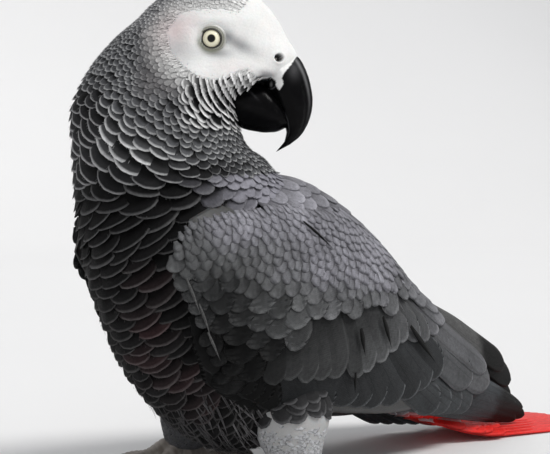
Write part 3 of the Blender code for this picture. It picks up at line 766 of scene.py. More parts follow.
def face_colour(p):
    f, u, c = head_coords(p)
    tone = np.broadcast_to(WHITE, p.shape).copy()
    r = np.hypot(f - EYE_AT[0], u - EYE_AT[1])

    def patch(cf, cu, rf, ru, turn=0.0):
        a = math.radians(turn)
        x = (f - cf) * math.cos(a) + (u - cu) * math.sin(a)
        y = -(f - cf) * math.sin(a) + (u - cu) * math.cos(a)
        return np.exp(-(x / rf) ** 2 - (y / ru) ** 2)

    near = np.abs(c) > 8
    pink = patch(-14, 9, 5.5, 6.5) * 0.75 + patch(-7.5, 12.5, 3.5, 2.5) * 0.25 + patch(6.5, -4.5, 6, 2.0) * 0.25
    tone = mix(tone, (0.68, 0.54, 0.54), np.clip(pink, 0, 1))
    grey = patch(-13.0, 1.5, 6.0, 4.5) * 0.6 + patch(-15.0, 14.0, 4.0, 4.0) * 0.45
    tone = mix(tone, (0.42, 0.42, 0.43), np.clip(grey, 0, 1))
    # painted shade in the hollows of the lores and under the eye
    shade = patch(9.3, 4.0, 6.6, 2.4, -30) * 0.80 + patch(1.0, 0.9, 5.4, 1.9, -4) * 0.85 + patch(5.2, 7.0, 2.2, 2.0) * 0.45
    tone = mix(tone, (0.25, 0.255, 0.265), np.clip(shade, 0, 1) * near)
    olive = np.exp(-((r - 4.1) / 1.25) ** 2) * (0.42 + 0.58 * smooth(1.5, -2.5, u - EYE_AT[1]))
    tone = mix(tone, (0.20, 0.205, 0.155), np.clip(olive, 0, 0.95))
    tone = mix(tone, (0.05, 0.05, 0.045), smooth(3.75, 3.3, r) * near)
    nr = np.hypot(f - 23.5, u + 0.5)
    # painted shade inside the nostril opening, round the plug
    tone = mix(tone, (0.012, 0.011, 0.010), (1 - smooth(1.2, 1.75, nr)) * (np.abs(c) > 5))
    tone = mix(tone, (0.30, 0.29, 0.28), np.exp(-(np.hypot(f - 23.0, u + 0.9) / 0.5) ** 2) * (np.abs(c) > 5))
    tone = mix(tone, (0.36, 0.36, 0.365), np.clip(patch(19.2, -6.6, 2.9, 1.35, -12) * 1.3, 0, 1) * near)
    # painted shade in the crease at the corner of the gape
    tone = mix(tone, (0.10, 0.10, 0.10), np.clip(patch(16.4, -8.0, 2.2, 0.7, 25) * 1.1, 0, 1) * near)
    tone = tone * (1 + 0.03 * wobble(p, 0.7, 8) + 0.03 * wobble(p, 3.0, 9))[..., None]
    return horn_colour(p, tone)


def horn_colour(p, pale):
    """Black horn inside its outline, the given pale skin outside it."""
    f, u, c = head_coords(p)
    edge = horn_distance(f, u) + 0.16 * wobble(p, 0.8, 31)
    black = np.broadcast_to(np.array([0.0028, 0.0028, 0.0031]), p.shape).copy()
    powder = np.exp(-((f - 29.3) / 2.2) ** 2 - ((u + 4.6) / 3.4) ** 2)
    black = mix(black, (0.060, 0.060, 0.063), np.clip(powder, 0, 1) * 0.8)
    spot = np.exp(-((f - 20.9) / 0.42) ** 2 - ((u + 10.1) / 0.85) ** 2)
    black = mix(black, (0.13, 0.13, 0.13), np.clip(spot * 1.2, 0, 1))
    arc = np.hypot(f - 20.6, u + 9.6)
    black = mix(black, (0.10, 0.10, 0.105), np.exp(-((arc - 2.15) / 0.22) ** 2) * smooth(-10.0, -11.6, u) * smooth(20.0, 21.4, f))
    return mix(black, pale, smooth(-0.22, 0.22, edge))


def skin_material():
    m, t, b = nodes_for("bare_skin")
    tone = attribute(t, "tone")
    xyz = object_coords(t)
    fine = noise(t, xyz, 1500.0, 4.0, 0.6)
    broad = noise(t, xyz, 260.0, 3.0)
    cell = t.nodes.new("ShaderNodeTexVoronoi")
    cell.inputs["Scale"].default_value = 1300.0
    t.links.new(xyz, cell.inputs["Vector"])
    light = maths(t, "ADD", maths(t, "MULTIPLY", fine, 0.16), maths(t, "ADD", maths(t, "MULTIPLY", broad, 0.10), 0.87))
    grey = t.nodes.new("ShaderNodeCombineColor")
    for i in range(3):
        t.links.new(light, grey.inputs[i])
    t.links.new(blend(t, 1.0, tone.outputs["Color"], grey.outputs[0], "MULTIPLY"), b.inputs["Base Color"])
    b.inputs["Subsurface Weight"].default_value = 0.12
    b.inputs["Subsurface Radius"].default_value = (1.0, 0.35, 0.25)
    b.inputs["Subsurface Scale"].default_value = 0.0008
    b.inputs["Specular IOR Level"].default_value = 0.3
    height = maths(t, "ADD", maths(t, "MULTIPLY", cell.outputs["Distance"], -0.6), fine)
    bump(t, b, height, 0.00012, 0.6)
    bright = t.nodes.new("ShaderNodeRGBToBW")
    t.links.new(tone.outputs["Color"], bright.inputs[0])
    t.links.new(ramp(t, bright.outputs[0], 0.01, 0.12, 0.3, 0.6), b.inputs["Roughness"])
    return m


def round_path(path, radii, n, flat=None, squash=1.0, relief=None):
    """Rings along a path with a radius at each, kept above a level; returns (m, n, 3)."""
    path, radii = np.asarray(path, float), np.asarray(radii, float)
    way = unit(np.gradient(path, axis=0))
    ref = np.where(np.abs(way[:, 2:3]) < 0.9, UP, np.array([0, -1.0, 0]))
    side = unit(np.cross(way, ref))
    up = np.cross(side, way)
    q = 2 * math.pi * (np.arange(n) + 0.5) / n
    r = np.repeat(radii[:, None], n, 1)
    if relief is not None:
        r = r + relief(np.linspace(0, 1, len(path))[:, None], q[None])
    p = path[:, None] + side[:, None] * (r * np.cos(q))[..., None] + up[:, None] * (r * squash * np.sin(q))[..., None]
    if flat is not None:
        p[..., 2] = np.maximum(p[..., 2], flat)
    return p


def closed_tube(p, start=None, end=None):
    """Verts and faces of a tube with its ends closed to points."""
    m, n = p.shape[:2]
    start = p[0].mean(0) if start is None else np.asarray(start, float)
    end = p[-1].mean(0) if end is None else np.asarray(end, float)
    verts = np.concatenate([p.reshape(-1, 3), start[None], end[None]])
    faces = [grid_faces(m, n), np.concatenate([fan_faces(0, m * n, n, True), fan_faces((m - 1) * n, m * n + 1, n)])]
    return verts, faces_outward(verts, faces)


FEET = {"left": (27.0, 8.0), "right": (-27.0, -5.5)}
PLUMP = {"left": 1.0, "right": 0.84}
TARSUS = 26.0


def thigh_path(side, steps):
    fx, fy = FEET[side]
    tx = fx * 0.8
    keys = np.array([(tx, fy + 2, 52), (tx, fy + 2, 38), (tx * 1.06, fy + 1, 29), (tx * 1.14, fy, 20), (fx, fy, 10.5)])
    radii = np.array([14.0, 16.0, 15.6, 14.0, 10.0]) * PLUMP[side]
    s = np.array([0, 0.35, 0.56, 0.78, 1.0])
    x = np.linspace(0, 1, steps)
    return spline(s, keys, x), spline(s, radii, x)


parts_v, parts_q, parts_t, parts_uv, parts_tone = [], [], [], [], []
skin_count = 0


def add_skin(verts, faces, uv, tone):
    global skin_count
    parts_v.append(verts)
    for f in faces:
        (parts_q if f.shape[1] == 4 else parts_t).append(f + skin_count)
    parts_uv.append(uv)
    parts_tone.append(tone)
    skin_count += len(verts)


sk_t = np.concatenate([np.linspace(0.004, 0.78, 80), np.linspace(0.785, 0.995, 190)])
sk_q = np.linspace(0, 2 * math.pi, 300, endpoint=False)
P, _, _, N = body_frame(np.repeat(sk_t[:, None], 300, 1), np.repeat(sk_q[None], len(sk_t), 0))
tt = np.repeat(sk_t[:, None], 300, 1)
skin_p = P - N * coat_depth(tt, P)[..., None]
on_head = smooth(0.81, 0.84, tt)
skin_p = skin_p + N * (face_relief(P, N) * on_head * smooth(1.0, -1.5, bare_distance(*head_coords(P)[:2])))[..., None]
f, u, c = head_coords(skin_p)
eye_gap = np.hypot(f - EYE_AT[0], u - EYE_AT[1])
sink = (1 - smooth(2.9, 3.5, eye_gap)) * (np.abs(c) > 8)
skin_p = skin_p - CHEEK * (np.sign(c) * sink * np.maximum(np.abs(c) - 13.0, 0))[..., None]
bare_here = smooth(6.0, 0.0, bare_distance(*head_coords(P)[:2])) * smooth(0.80, 0.83, tt)
under = mix(np.array([0.035, 0.035, 0.037]), np.array([0.10, 0.10, 0.105]), smooth(0.80, 0.88, tt))
under = mix(under, RED, smooth(0.13, 0.10, tt))
skin_tone = mix(under, face_colour(P), bare_here)
v, fcs = closed_tube(skin_p, start=skin_p[0].mean(0), end=CROWN - UP * 0.6)
uv = np.stack([np.repeat(sk_q[None] / (2 * math.pi), len(sk_t), 0) * 0.72 + 0.005, np.repeat((np.arange(len(sk_t)) / len(sk_t))[:, None], 300, 1) * 0.98 + 0.01], -1).reshape(-1, 2)
add_skin(v, fcs, np.concatenate([uv, [[0.36, 0.008], [0.36, 0.994]]]), np.concatenate([skin_tone.reshape(-1, 3), skin_tone[0, :1], skin_tone[-1, :1]]))
for n_side, side in enumerate(("left", "right")):
    path, radii = thigh_path(side, 26)
    depth_t = np.interp(np.arange(26) / 25, [0.46, 0.60], [3.2, 0.45])
    # lower thigh skin pale on the near (left) thigh and darkened on the far (right) one as painted shade
    shade_t = np.interp(np.arange(26) / 25, [0.50, 0.56], [0.03, 0.38 if side == "left" else 0.07])
    rings = round_path(path, radii - depth_t.reshape((26,) + (1,) * (np.ndim(radii) - 1)), 40)
    v, fcs = closed_tube(rings)
    uv = np.stack(np.meshgrid(0.76 + 0.1 * n_side + np.arange(40) / 40 * 0.09, 0.02 + np.arange(26) / 26 * 0.3), -1).reshape(-1, 2)
    add_skin(v, fcs, np.concatenate([uv, uv[:1], uv[-1:]]), np.repeat(np.concatenate([np.repeat(shade_t, 40), shade_t[:1], shade_t[-1:]])[:, None], 3, 1))
    # the flesh of the folded wing, a curved plate under its feathers
    table = wing_table(side, WING_SHIFT[side])
    ss = np.linspace(-9, 172, 60)
    outer, inner = [], []
    for s in ss:
        top, bottom, thick = spline(PLATE[:, 0], PLATE[:, 1:], s)[0]
        i = int(round(s + 16))
        qs = np.radians(np.linspace(top - 5, bottom + 5, 24))
        g = np.interp(qs, WQ, wing_g[i])
        p, n = sample(table, np.full(24, s), g)
        inset = np.interp(s, [-9, 10, 100, 172], [1.8, 3.2, 3.6, 2.4])
        rim = 0.6 + 0.7 * np.sin(np.pi * np.arange(24) / 23)
        outer.append(p - n * inset)
        inner.append(p - n * (inset + rim[:, None]))
    rings = np.concatenate([np.array(outer), np.array(inner)[:, ::-1]], 1)
    v, fcs = closed_tube(rings)
    uv = np.stack(np.meshgrid(0.76 + 0.1 * n_side + np.arange(48) / 48 * 0.09, 0.36 + np.arange(60) / 60 * 0.6), -1).reshape(-1, 2)
    add_skin(v, fcs, np.concatenate([uv, uv[:1], uv[-1:]]), np.full((len(v), 3), 0.06))

skin = mesh_object("skin", np.concatenate(parts_v), [np.concatenate(parts_q), np.concatenate(parts_t)], skin_material(),
                   uv=np.concatenate(parts_uv), tone=np.concatenate(parts_tone))
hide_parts("head", "neck", "trunk", "rump", "thigh_left", "thigh_right", "wing_left", "wing_right")

# ------------------------------------------------------------------ head feathers, in rows round the bill
BILL_BASE = in_head(13.0, -11.0)
AX = -unit(FACE + UP)
AU = unit(UP - AX * (UP @ AX))
AS = np.cross(AX, AU)
# direction of growth over the side of the head and neck: forward, up, degrees below straight back
GROWTH = np.array([
    (6.0, -16.5, 36), (-5.0, -12.5, 4), (-3.0, -20.5, 42), (0.5, -28.0, 86), (-38.0, -5.5, 30), (-30.5, -12.5, 35), (-43.5, -10.5, 30),
    (-36.0, -18.0, 32), (-27.0, -20.0, 42), (-41.5, -31.0, 38), (-27.0, -32.5, 54), (-19.5, -31.0, 55), (-10.5, -40.0, 86), (-34.5, -49.0, 58),
    (-19.5, -49.0, 84), (0.5, -47.0, 108), (8.0, -38.0, 96), (-47.0, -47.0, 42), (-9.0, -20.0, 50), (-20.0, -5.0, 14), (-23.5, 9.5, 6), (-27.0, 16.5, 26),
    (-9.0, 19.0, 8), (2.0, 22.0, 0), (10.0, 20.0, -6), (12.0, -8.0, 46), (-14.0, -13.0, 22), (12.0, -30.0, 95), (-20.0, 22.0, 20), (-35.0, 3.0, 34),
])


def head_lie(p):
    """Direction the feathers grow on the head and neck."""
    f, u, _ = head_coords(p)
    w = 1 / (((f[:, None] - GROWTH[:, 0]) ** 2 + (u[:, None] - GROWTH[:, 1]) ** 2) + 4.0) ** 2
    a = np.radians(GROWTH[:, 2])
    gf, gu = (w * -np.cos(a)).sum(1), (w * -np.sin(a)).sum(1)
    return unit(FACE * gf[:, None] + UP * gu[:, None])


def cheek_area(f, u):
    """The band of bold streaks behind and below the bill."""
    return smooth(-6.0, -9.5, u) * smooth(-12, -5, f) * smooth(-27, -21, u) * smooth(16, 12, f)


STREAK_AREA = np.array([(-6.6, -10.4), (-4.6, -10.0), (0, -9.9), (5, -9.6), (9, -9.2), (13, -9.0), (11.9, -12.6), (10.6, -17.3), (8.4, -23.2), (5, -23.4), (0.5, -21.4), (-3.2, -18.2), (-6.0, -14.0)])


def head_size(f, u, bd):
    """Spacing of the feathers on the head and neck, along their growth and across it."""
    s = -0.6 * f - 0.8 * u
    a = np.interp(s, [-15, 5, 16, 28, 36, 42, 54], [1.45, 1.62, 1.75, 2.15, 2.85, 3.6, 4.0])
    streaks = cheek_area(f, u)
    a = a * (1 - streaks) + 2.3 * streaks
    a = a * (0.66 + 0.34 * smooth(0, 5, bd))
    b = a * np.interp(a, [1.2, 2.0, 2.4, 3.1, 4.0], [1.15, 1.35, 1.9, 2.3, 2.7])
    return a, b * (1 - streaks) + 5.2 * streaks


def body_size(t, q):
    """The same on the body."""
    rise = smooth(-0.1, 0.45, np.sin(q))
    a = np.interp(t, [0.02, 0.12, 0.3, 0.45, 0.6, 0.70, 0.80], [4.0, 4.1, 3.8, 3.5, 3.5, 3.9, 4.1])
    breast = np.interp(t, [0.02, 0.12, 0.3, 0.42, 0.5, 0.6, 0.72, 0.80], [5.5, 6.5, 7.0, 8.6, 11.0, 13.0, 13.0, 12.0])
    mantle = np.interp(t, [0.02, 0.12, 0.3, 0.45, 0.6, 0.72, 0.80], [5.5, 6.6, 7.6, 8.2, 8.2, 10.0, 11.0])
    return a * (1 + 0.2 * rise * smooth(0.62, 0.5, t)), breast * (1 - rise) + mantle * rise


def plumage_field(t, q, p, lie, around, nrm):
    """Direction of growth and spacing anywhere on the head and body."""
    f, u, _ = head_coords(p)
    up = smooth(102, 124, p[:, 2])
    off = (q + 1.5 * math.pi) % (2 * math.pi) - math.pi
    turn = np.radians(8.0) * np.sign(off) * smooth(0.03, 0.3, np.abs(off)) * smooth(1.7, 0.9, np.abs(off)) * smooth(0.12, 0.25, t)
    way = lie * np.cos(turn)[:, None] + around * np.sin(turn)[:, None]
    way = mix(way, head_lie(p), up * 0.97)
    way = unit(way - nrm * np.sum(way * nrm, -1, keepdims=True))
    a1, b1 = body_size(t, q)
    a2, b2 = head_size(f, u, bare_distance(f, u))
    return way, a1 * (1 - up) + a2 * up, b1 * (1 - up) + b2 * up


def under_wing(p, nrm, margin):
    """Places that a wing hides, apart from the strip of back between the wings."""
    return over_wing(p, margin) & ~((np.abs(p[:, 0]) < 17) & (nrm[:, 2] > 0.3) & (p[:, 1] > -38))


def thin_out(p, way, a, b, share):
    """Keeps places in turn, leaving out any that falls within the ellipse of one kept before."""
    most = len(p)
    kp, ka, kb = np.empty((most, 3)), np.empty(most), np.empty(most)
    chosen, m = [], 0
    for k in range(most):
        if m:
            d = kp[:m] - p[k]
            near = np.abs(d).max(1) < 16
            d = d[near]
            al = d @ way[k]
            ac2 = np.maximum((d * d).sum(1) - al * al, 0)
            am, bm = (ka[:m][near] + a[k]) / 2 * share, (kb[:m][near] + b[k]) / 2 * share
            if ((al / am) ** 2 + ac2 / bm ** 2 < 1.0).any():
                continue
        kp[m], ka[m], kb[m] = p[k], a[k], b[k]
        chosen.append(k)
        m += 1
    return np.array(chosen)


def even_out(p, way, a, b, nrm, steps):
    """Pushes neighbours apart in the same stretched measure, so that the rows grow regular."""
    p = p.copy()
    side = np.cross(way, nrm)
    for _ in range(steps):
        move = np.zeros_like(p)
        for k0 in range(0, len(p), 500):
            part = slice(k0, k0 + 500)
            d = p[part][:, None] - p[None]
            x = np.einsum("ijk,ik->ij", d, way[part]) / a[part][:, None]
            y = np.einsum("ijk,ik->ij", d, side[part]) / b[part][:, None]
            away = np.einsum("ijk,ik->ij", d, nrm[part])
            r = np.sqrt(x * x + y * y + (away / 6) ** 2)
            push = np.where((r > 1e-6) & (r < 1.3), (1.3 - r) / np.maximum(r, 0.1), 0) * 0.14
            move[part] = way[part] * ((x * push).sum(1) * a[part])[:, None] + side[part] * ((y * push).sum(1) * b[part])[:, None]
        p += np.clip(move, -1.0, 1.0)
    return p


def scatter(count):
    """Feather places over the head and body, spaced by an ellipse that follows the growth."""
    ts = np.concatenate([np.linspace(0.035, 0.74, 110), np.linspace(0.745, 0.994, 110)])
    qs = np.linspace(0, 2 * math.pi, 121)
    grid = body_points(ts[:, None], qs[None])
    e1, e2 = grid[1:, :-1] - grid[:-1, :-1], grid[:-1, 1:] - grid[:-1, :-1]
    area = np.linalg.norm(np.cross(e1, e2), axis=-1).ravel()
    mt, mq = (np.repeat((ts[1:] + ts[:-1])[:, None] / 2, 120, 1).ravel(), np.repeat((qs[1:] + qs[:-1])[None] / 2, len(ts) - 1, 0).ravel())
    p, lie, around, nrm = body_frame(mt, mq)
    _, a, b = plumage_field(mt, mq, p, lie, around, nrm)
    weight = area / (a * b)
    f, u, _ = head_coords(p)
    weight[(mt > 0.8) & (signed_distance(STREAK_AREA, f, u) < -0.8)] = 0
    on_face = (mt > 0.8) & ((bare_distance(f, u) < -1.0) | (horn_distance(f, u) < -1.0))
    weight[under_wing(p, nrm, 6.5) | on_face] = 0
    pick = rng.choice(len(mt), size=count, p=weight / weight.sum())
    i, j = pick // 120, pick % 120
    t = ts[i] + (ts[i + 1] - ts[i]) * rng.uniform(size=count)
    q = qs[j] + (qs[j + 1] - qs[j]) * rng.uniform(size=count)
    p, lie, around, nrm = body_frame(t, q)
    # the very top of the head, which the rings leave open
    cap_r, cap_a = 13.0 * np.sqrt(rng.uniform(size=2500)), rng.uniform(0, 2 * math.pi, 2500)
    cap = CROWN + np.stack([cap_r * np.cos(cap_a), cap_r * np.sin(cap_a), np.full(2500, -1.0)], 1)
    cap, cap_n = settle(BODY_HULL, cap, body_outward)
    t, q = np.concatenate([t, np.full(2500, 0.994)]), np.concatenate([q, cap_a])
    p, nrm = np.concatenate([p, cap]), np.concatenate([nrm, cap_n])
    lie, around = np.concatenate([lie, head_lie(cap)]), np.concatenate([around, np.cross(cap_n, head_lie(cap))])
    mixed = rng.permutation(len(t))
    t, q, p, nrm, lie, around = (v[mixed] for v in (t, q, p, nrm, lie, around))
    way, a, b = plumage_field(t, q, p, lie, around, nrm)
    f, u, _ = head_coords(p)
    fine = ~under_wing(p, nrm, 5.0) & (p[:, 2] > 3) & ~((t > 0.8) & ((bare_distance(f, u) < 0.5) | (horn_distance(f, u) < 0.4) | (signed_distance(STREAK_AREA, f, u) < 0)))
    k = np.nonzero(fine)[0]
    k = k[thin_out(p[k], way[k], a[k], b[k], 0.84)]
    spread = even_out(p[k], way[k], a[k], b[k], nrm[k], 8)
    spread, nrm_s = settle(BODY_HULL, spread, body_outward)
    way_s = unit(way[k] - nrm_s * np.sum(way[k] * nrm_s, -1, keepdims=True))
    f, u, _ = head_coords(spread)
    stay = ~((t[k] > 0.8) & ((bare_distance(f, u) < 0.3) | (horn_distance(f, u) < 0.3))) & (spread[:, 2] > 2.5)
    return tuple(v[stay] for v in (t[k], q[k], spread, way_s, nrm_s, a[k], b[k]))


def add_barbs(coat, p, lie, nrm, long, wide, tone, edge, uv, per, reach, share, low, high, power, curl):
    """Loose barbs over the rounded end of each feather, so that its outline is hairy."""
    n = len(p)
    side = np.cross(lie, nrm)
    slope = (high - low) * power / long + 4 * curl / long
    for j in range(per):
        r = np.clip(((j + 0.5) / per * 2 - 1 + rng.normal(size=n) * 0.14) * 0.88, -0.9, 0.9)
        end = long * (end_line("arc", np.abs(r)) - share)
        size = reach * rng.uniform(0.7, 1.25, n)
        past = size * rng.uniform(0.15, 0.45, n)
        way = unit(lie + side * (r * 0.40 + rng.normal(size=n) * 0.13)[:, None])
        root = p + lie * end[:, None] + side * (r * wide / 2)[:, None] - way * (size - past)[:, None]
        level = high + curl - 0.3 * slope * long * (1 - end_line("arc", np.abs(r)))
        shade = rng.uniform(0.75, 1.12, (n, 1))
        coat.add(on_hull(BODY_HULL, body_outward, root, way, nrm), size, rng.uniform(0.16, 0.30, n), "lock", mix(tone, edge, 0.55) * shade, edge * shade, uv,
                 sections=3, across=3, under=1, z_root=level - slope * size + 0.03, z_tip=level + 0.07, camber=0.1, thick=0.08, edge_width=0.1, show=size * 0.75)


SEAM_Z = 122.0
st, sq, sp, sway, snrm, sa, sb = scatter(70000)
high_up = sp[:, 2] > SEAM_Z
hp, hway, hh, hb = sp[high_up], sway[high_up], sa[high_up], sb[high_up]
huv = np.stack([sq[high_up] / (2 * math.pi), np.clip((st[high_up] - 0.7) / 0.3, 0, 0.97)], 1)
# a fringe of tiny feathers thins out over the edge of the bare skin
fringe = []
for _ in range(9000):
    v = rng.uniform([-22, -15], [20, 24])
    fringe.append(v)
fringe = np.array(fringe)
fb = bare_distance(fringe[:, 0], fringe[:, 1])
fringe = fringe[(fb > -2.6) & (fb < 2.6) & (rng.uniform(size=len(fb)) < smooth(-3.0, 0.5, fb)) & (horn_distance(fringe[:, 0], fringe[:, 1]) > 0.5)]
spaced = []
for v in fringe:
    if not spaced or np.min(np.sum((np.array(spaced) - v) ** 2, 1)) > 1.0 ** 2:
        spaced.append(v)
tiny_p = []
for v in spaced:
    for sign in (1, -1):
        hit = BODY_HULL.ray_cast(Vector(in_head(v[0], v[1], sign * 60.0)), Vector(-CHEEK * sign))[0]
        if hit is not None and (np.array(hit) - HEAD) @ CHEEK * sign > 4:
            tiny_p.append(hit)
tiny_p = np.array(tiny_p)
# bold streaks of the cheek: lines of short feathers, each line over the next one outwards
STREAKS = [
    [(12.0, -7.6), (13.0, -9.6), (14.2, -10.6)],
    [(8.8, -7.4), (10.2, -10.6), (11.6, -12.4), (13.0, -13.2)],
    [(5.9, -7.4), (7.3, -10.8), (9.2, -14.0), (11.4, -16.0)],
    [(3.3, -8.3), (5.0, -12.6), (7.4, -16.2), (9.9, -17.7)],
    [(1.8, -9.2), (3.0, -13.2), (5.5, -17.0), (7.6, -19.4), (9.0, -20.6)],
    [(-0.4, -9.8), (0.6, -13.8), (3.0, -17.6), (5.6, -20.6), (7.8, -22.2)],
    [(-2.6, -10.0), (-2.0, -13.6), (-0.2, -17.4), (2.4, -20.6), (5.2, -23.0)],
    [(-4.9, -10.4), (-4.4, -13.6), (-2.9, -17.2), (-0.6, -20.0), (2.0, -22.4)],
    [(-7.0, -11.0), (-6.5, -14.4), (-5.0, -17.6), (-3.0, -20.2)],
]
streak_p, streak_way, streak_line = [], [], []
for number, line in enumerate(STREAKS):
    line = np.array(line)
    along = np.concatenate([[0], np.cumsum(np.linalg.norm(np.diff(line, axis=0), axis=1))])
    here = np.arange(0.4, along[-1], 1.35)
    place = spline(along, line, here)
    run = unit(spline(along, line, here + 0.2) - spline(along, line, here - 0.2))
    for (pf, pu), (rf, ru) in zip(place, run):
        for sign in (1, -1):
            hit = BODY_HULL.ray_cast(Vector(in_head(pf, pu, sign * 60.0)), Vector(-CHEEK * sign))[0]
            if hit is not None and (np.array(hit) - HEAD) @ CHEEK * sign > 3:
                streak_p.append(hit)
                streak_way.append(FACE * ru - UP * rf)
                streak_line.append(number)
streak_p, streak_way, streak_line = np.array(streak_p), np.array(streak_way), np.array(streak_line)
tiny_p = np.array([v for v in tiny_p if np.min(np.sum((streak_p - v) ** 2, 1)) > 1.2 ** 2])
n_main = len(hp)
hp = np.concatenate([hp, tiny_p])
huv = np.concatenate([huv, np.stack([0.02 + 0.96 * rng.uniform(size=len(tiny_p)), np.full(len(tiny_p), 0.995)], 1)])
hh = np.concatenate([hh, np.full(len(tiny_p), 0.95)])
hb = np.concatenate([hb, np.full(len(tiny_p), 1.0)])
hway = np.concatenate([hway, head_lie(tiny_p)])
tiny = np.arange(len(hp)) >= n_main
hp, hn = settle(BODY_HULL, hp, body_outward)
hf, hu, hc = head_coords(hp)
huv[tiny] = np.stack([(hf[tiny] + 60) / 120 * 0.5 + 0.5 * (hc[tiny] > 0), (hu[tiny] + 40) / 80], 1)
bd = bare_distance(hf, hu)
n = len(hp)
lie = unit(hway + rng.normal(size=(n, 3)) * (0.07 - 0.045 * cheek_area(hf, hu))[:, None])
crown_here = smooth(8, 15, hu)
malar = cheek_area(hf, hu) * ~tiny
ear = smooth(-28, -20, hf) * (1 - malar) * (1 - crown_here) * smooth(-18, -10, hu)
neck_part = smooth(2.2, 3.1, hh) * (1 - cheek_area(hf, hu))
centre = mix(np.broadcast_to(np.array([0.085, 0.087, 0.093]), (n, 3)), (0.128, 0.125, 0.129), ear)
centre = mix(centre, (0.15, 0.15, 0.158), crown_here * 0.8)
centre = mix(centre, (0.050, 0.051, 0.053), neck_part)
# near-black malar centres: partly their real dark colour, partly painted shadow on the bases showing between the pale
# rims
centre = mix(centre, (0.010, 0.010, 0.012), malar)
rim = mix(np.broadcast_to(np.array([0.36, 0.365, 0.37]), (n, 3)), (0.70, 0.705, 0.71), neck_part)
# painted shade: darker centres and duller, narrower rims on the lower neck and the nape, turned from the light
shaded = np.maximum(smooth(-32.5, -39, hu) * smooth(14, 4, hf), 0.85 * smooth(-34, -40, hf) * smooth(-3, -12, hu))
centre, rim = mix(centre, (0.010, 0.010, 0.011), shaded * 0.95), mix(rim, (0.165, 0.165, 0.17), shaded * 0.85)
rim = mix(rim, (0.205, 0.198, 0.202), ear)
rim = mix(rim, (0.50, 0.50, 0.505), crown_here)
rim = mix(rim, (0.80, 0.80, 0.80), malar * 0.95)
pale = np.maximum(smooth(9.0, 0.0, bd), 0.9 * smooth(0, 9, hf) * crown_here) * (1 - malar * 0.8)
pinkish = np.exp(-((hf + 15) / 7) ** 2 - ((hu - 9) / 8) ** 2)
white = mix(np.broadcast_to(WHITE, (n, 3)), (0.66, 0.56, 0.56), pinkish * 0.7)
centre, rim = mix(centre, white * (0.72 + 0.2 * smooth(0, 8, hf) * crown_here)[:, None], pale), mix(rim, white, np.maximum(pale, smooth(5, 1, bd)))
centre = mix(centre, white * 0.92, tiny * 1.0)
rim = mix(rim, white, tiny * 1.0)
centre = centre * (1 + 0.13 * rng.normal(size=(n, 1)))
rim = rim * (1 + 0.08 * rng.normal(size=(n, 1)))
wide = hb * np.where(tiny, 0.8, 1.5) * (1 + 0.06 * rng.normal(size=n))
long = hh * np.where(tiny, 3.0, 3.3) * (1 + 0.08 * rng.normal(size=n))
deep = np.interp(hh, [0.9, 1.8, 2.5, 4.0, 6.0], [0.2, 0.45, 0.85, 1.6, 2.2]) * (1 - 0.75 * smooth(4, 0, bd))
lift = 0.08 + 0.12 * neck_part + 0.25 * malar - 0.09 * tiny - 0.06 * smooth(4, 1, bd) * ~tiny
head = Coat("coat_head")
for part, cuts in ((~tiny & (hh < 2.5), (6, 5, 1)), (~tiny & (hh >= 2.5), (9, 9, 1)), (tiny, (4, 3, 1))):
    head.add(on_hull(BODY_HULL, body_outward, (hp - lie * (long * 0.36)[:, None])[part], lie[part], hn[part]),
             long[part], wide[part], "arc" if cuts[0] == 9 else "scale", np.clip(centre, .008, .9)[part], np.clip(rim, .01, .9)[part], huv[part],
             sections=cuts[0], across=cuts[1], under=cuts[2], z_root=(-deep - 0.15)[part], z_tip=lift[part], power=1.25, camber={4: 0.04, 6: 0.08, 9: 0.12}[cuts[0]], thick=0.06 if cuts[0] == 4 else 0.14,
             edge_width=(np.interp(hh, [1.0, 1.8, 2.5, 3.6, 4.6], [0.3, 0.5, 0.62, 0.95, 1.05]) * (1 - 0.4 * shaded) + 0.38 * malar)[part],
             curl=(0.05 + 0.08 * neck_part + 0.1 * malar)[part], ragged=0.14, show=(hh * (1.05 + 2.2 * pale + 1.2 * crown_here + 1.6 * ear))[part])
sp_, sn_ = settle(BODY_HULL, streak_p, body_outward)
sway_ = unit(streak_way - sn_ * np.sum(streak_way * sn_, -1, keepdims=True))
n = len(sp_)
s_long = np.full(n, 5.6) * (1 + 0.05 * rng.normal(size=n))
fade = np.interp(streak_line, [0, 5, 8], [1.0, 1.0, 0.72])[:, None]
# near-black streak centres: partly their real dark colour, partly painted shadow on each row's base under the row
# before it
head.add(on_hull(BODY_HULL, body_outward, sp_ - sway_ * s_long[:, None], sway_, sn_), s_long, np.full(n, 3.3), "arc",
         np.full((n, 3), 0.006), np.full((n, 3), 0.90) * fade * (1 + 0.06 * rng.normal(size=(n, 1))), np.stack([0.3 + 0.4 * rng.uniform(size=n), 0.9 + 0.01 * streak_line], 1),
         sections=8, across=5, under=1, z_root=-1.9, z_tip=0.42 + 0.1 * rng.uniform(size=n), power=1.1, camber=0.10, thick=0.14,
         edge_width=1.42 * (1 + 0.12 * rng.normal(size=n)), curl=0.12, ragged=0.12, show=2.2)
head.finish(MATS["small"])
hairy = Coat("coat_head_barbs")
for part, per in ((~tiny & (hh < 2.5) & (malar < 0.3), 3), (~tiny & (hh >= 2.5) & (malar < 0.3), 6)):
    add_barbs(hairy, hp[part], lie[part], hn[part], long[part], wide[part], np.clip(centre, .008, .9)[part], np.clip(rim, .01, .9)[part], huv[part],
              per, (np.where(hh < 2.5, 0.5, 0.30) * hh)[part], 0.36, (-deep - 0.15)[part], lift[part], 1.25, (0.05 + 0.08 * neck_part)[part])
hairy.finish(MATS["small"])

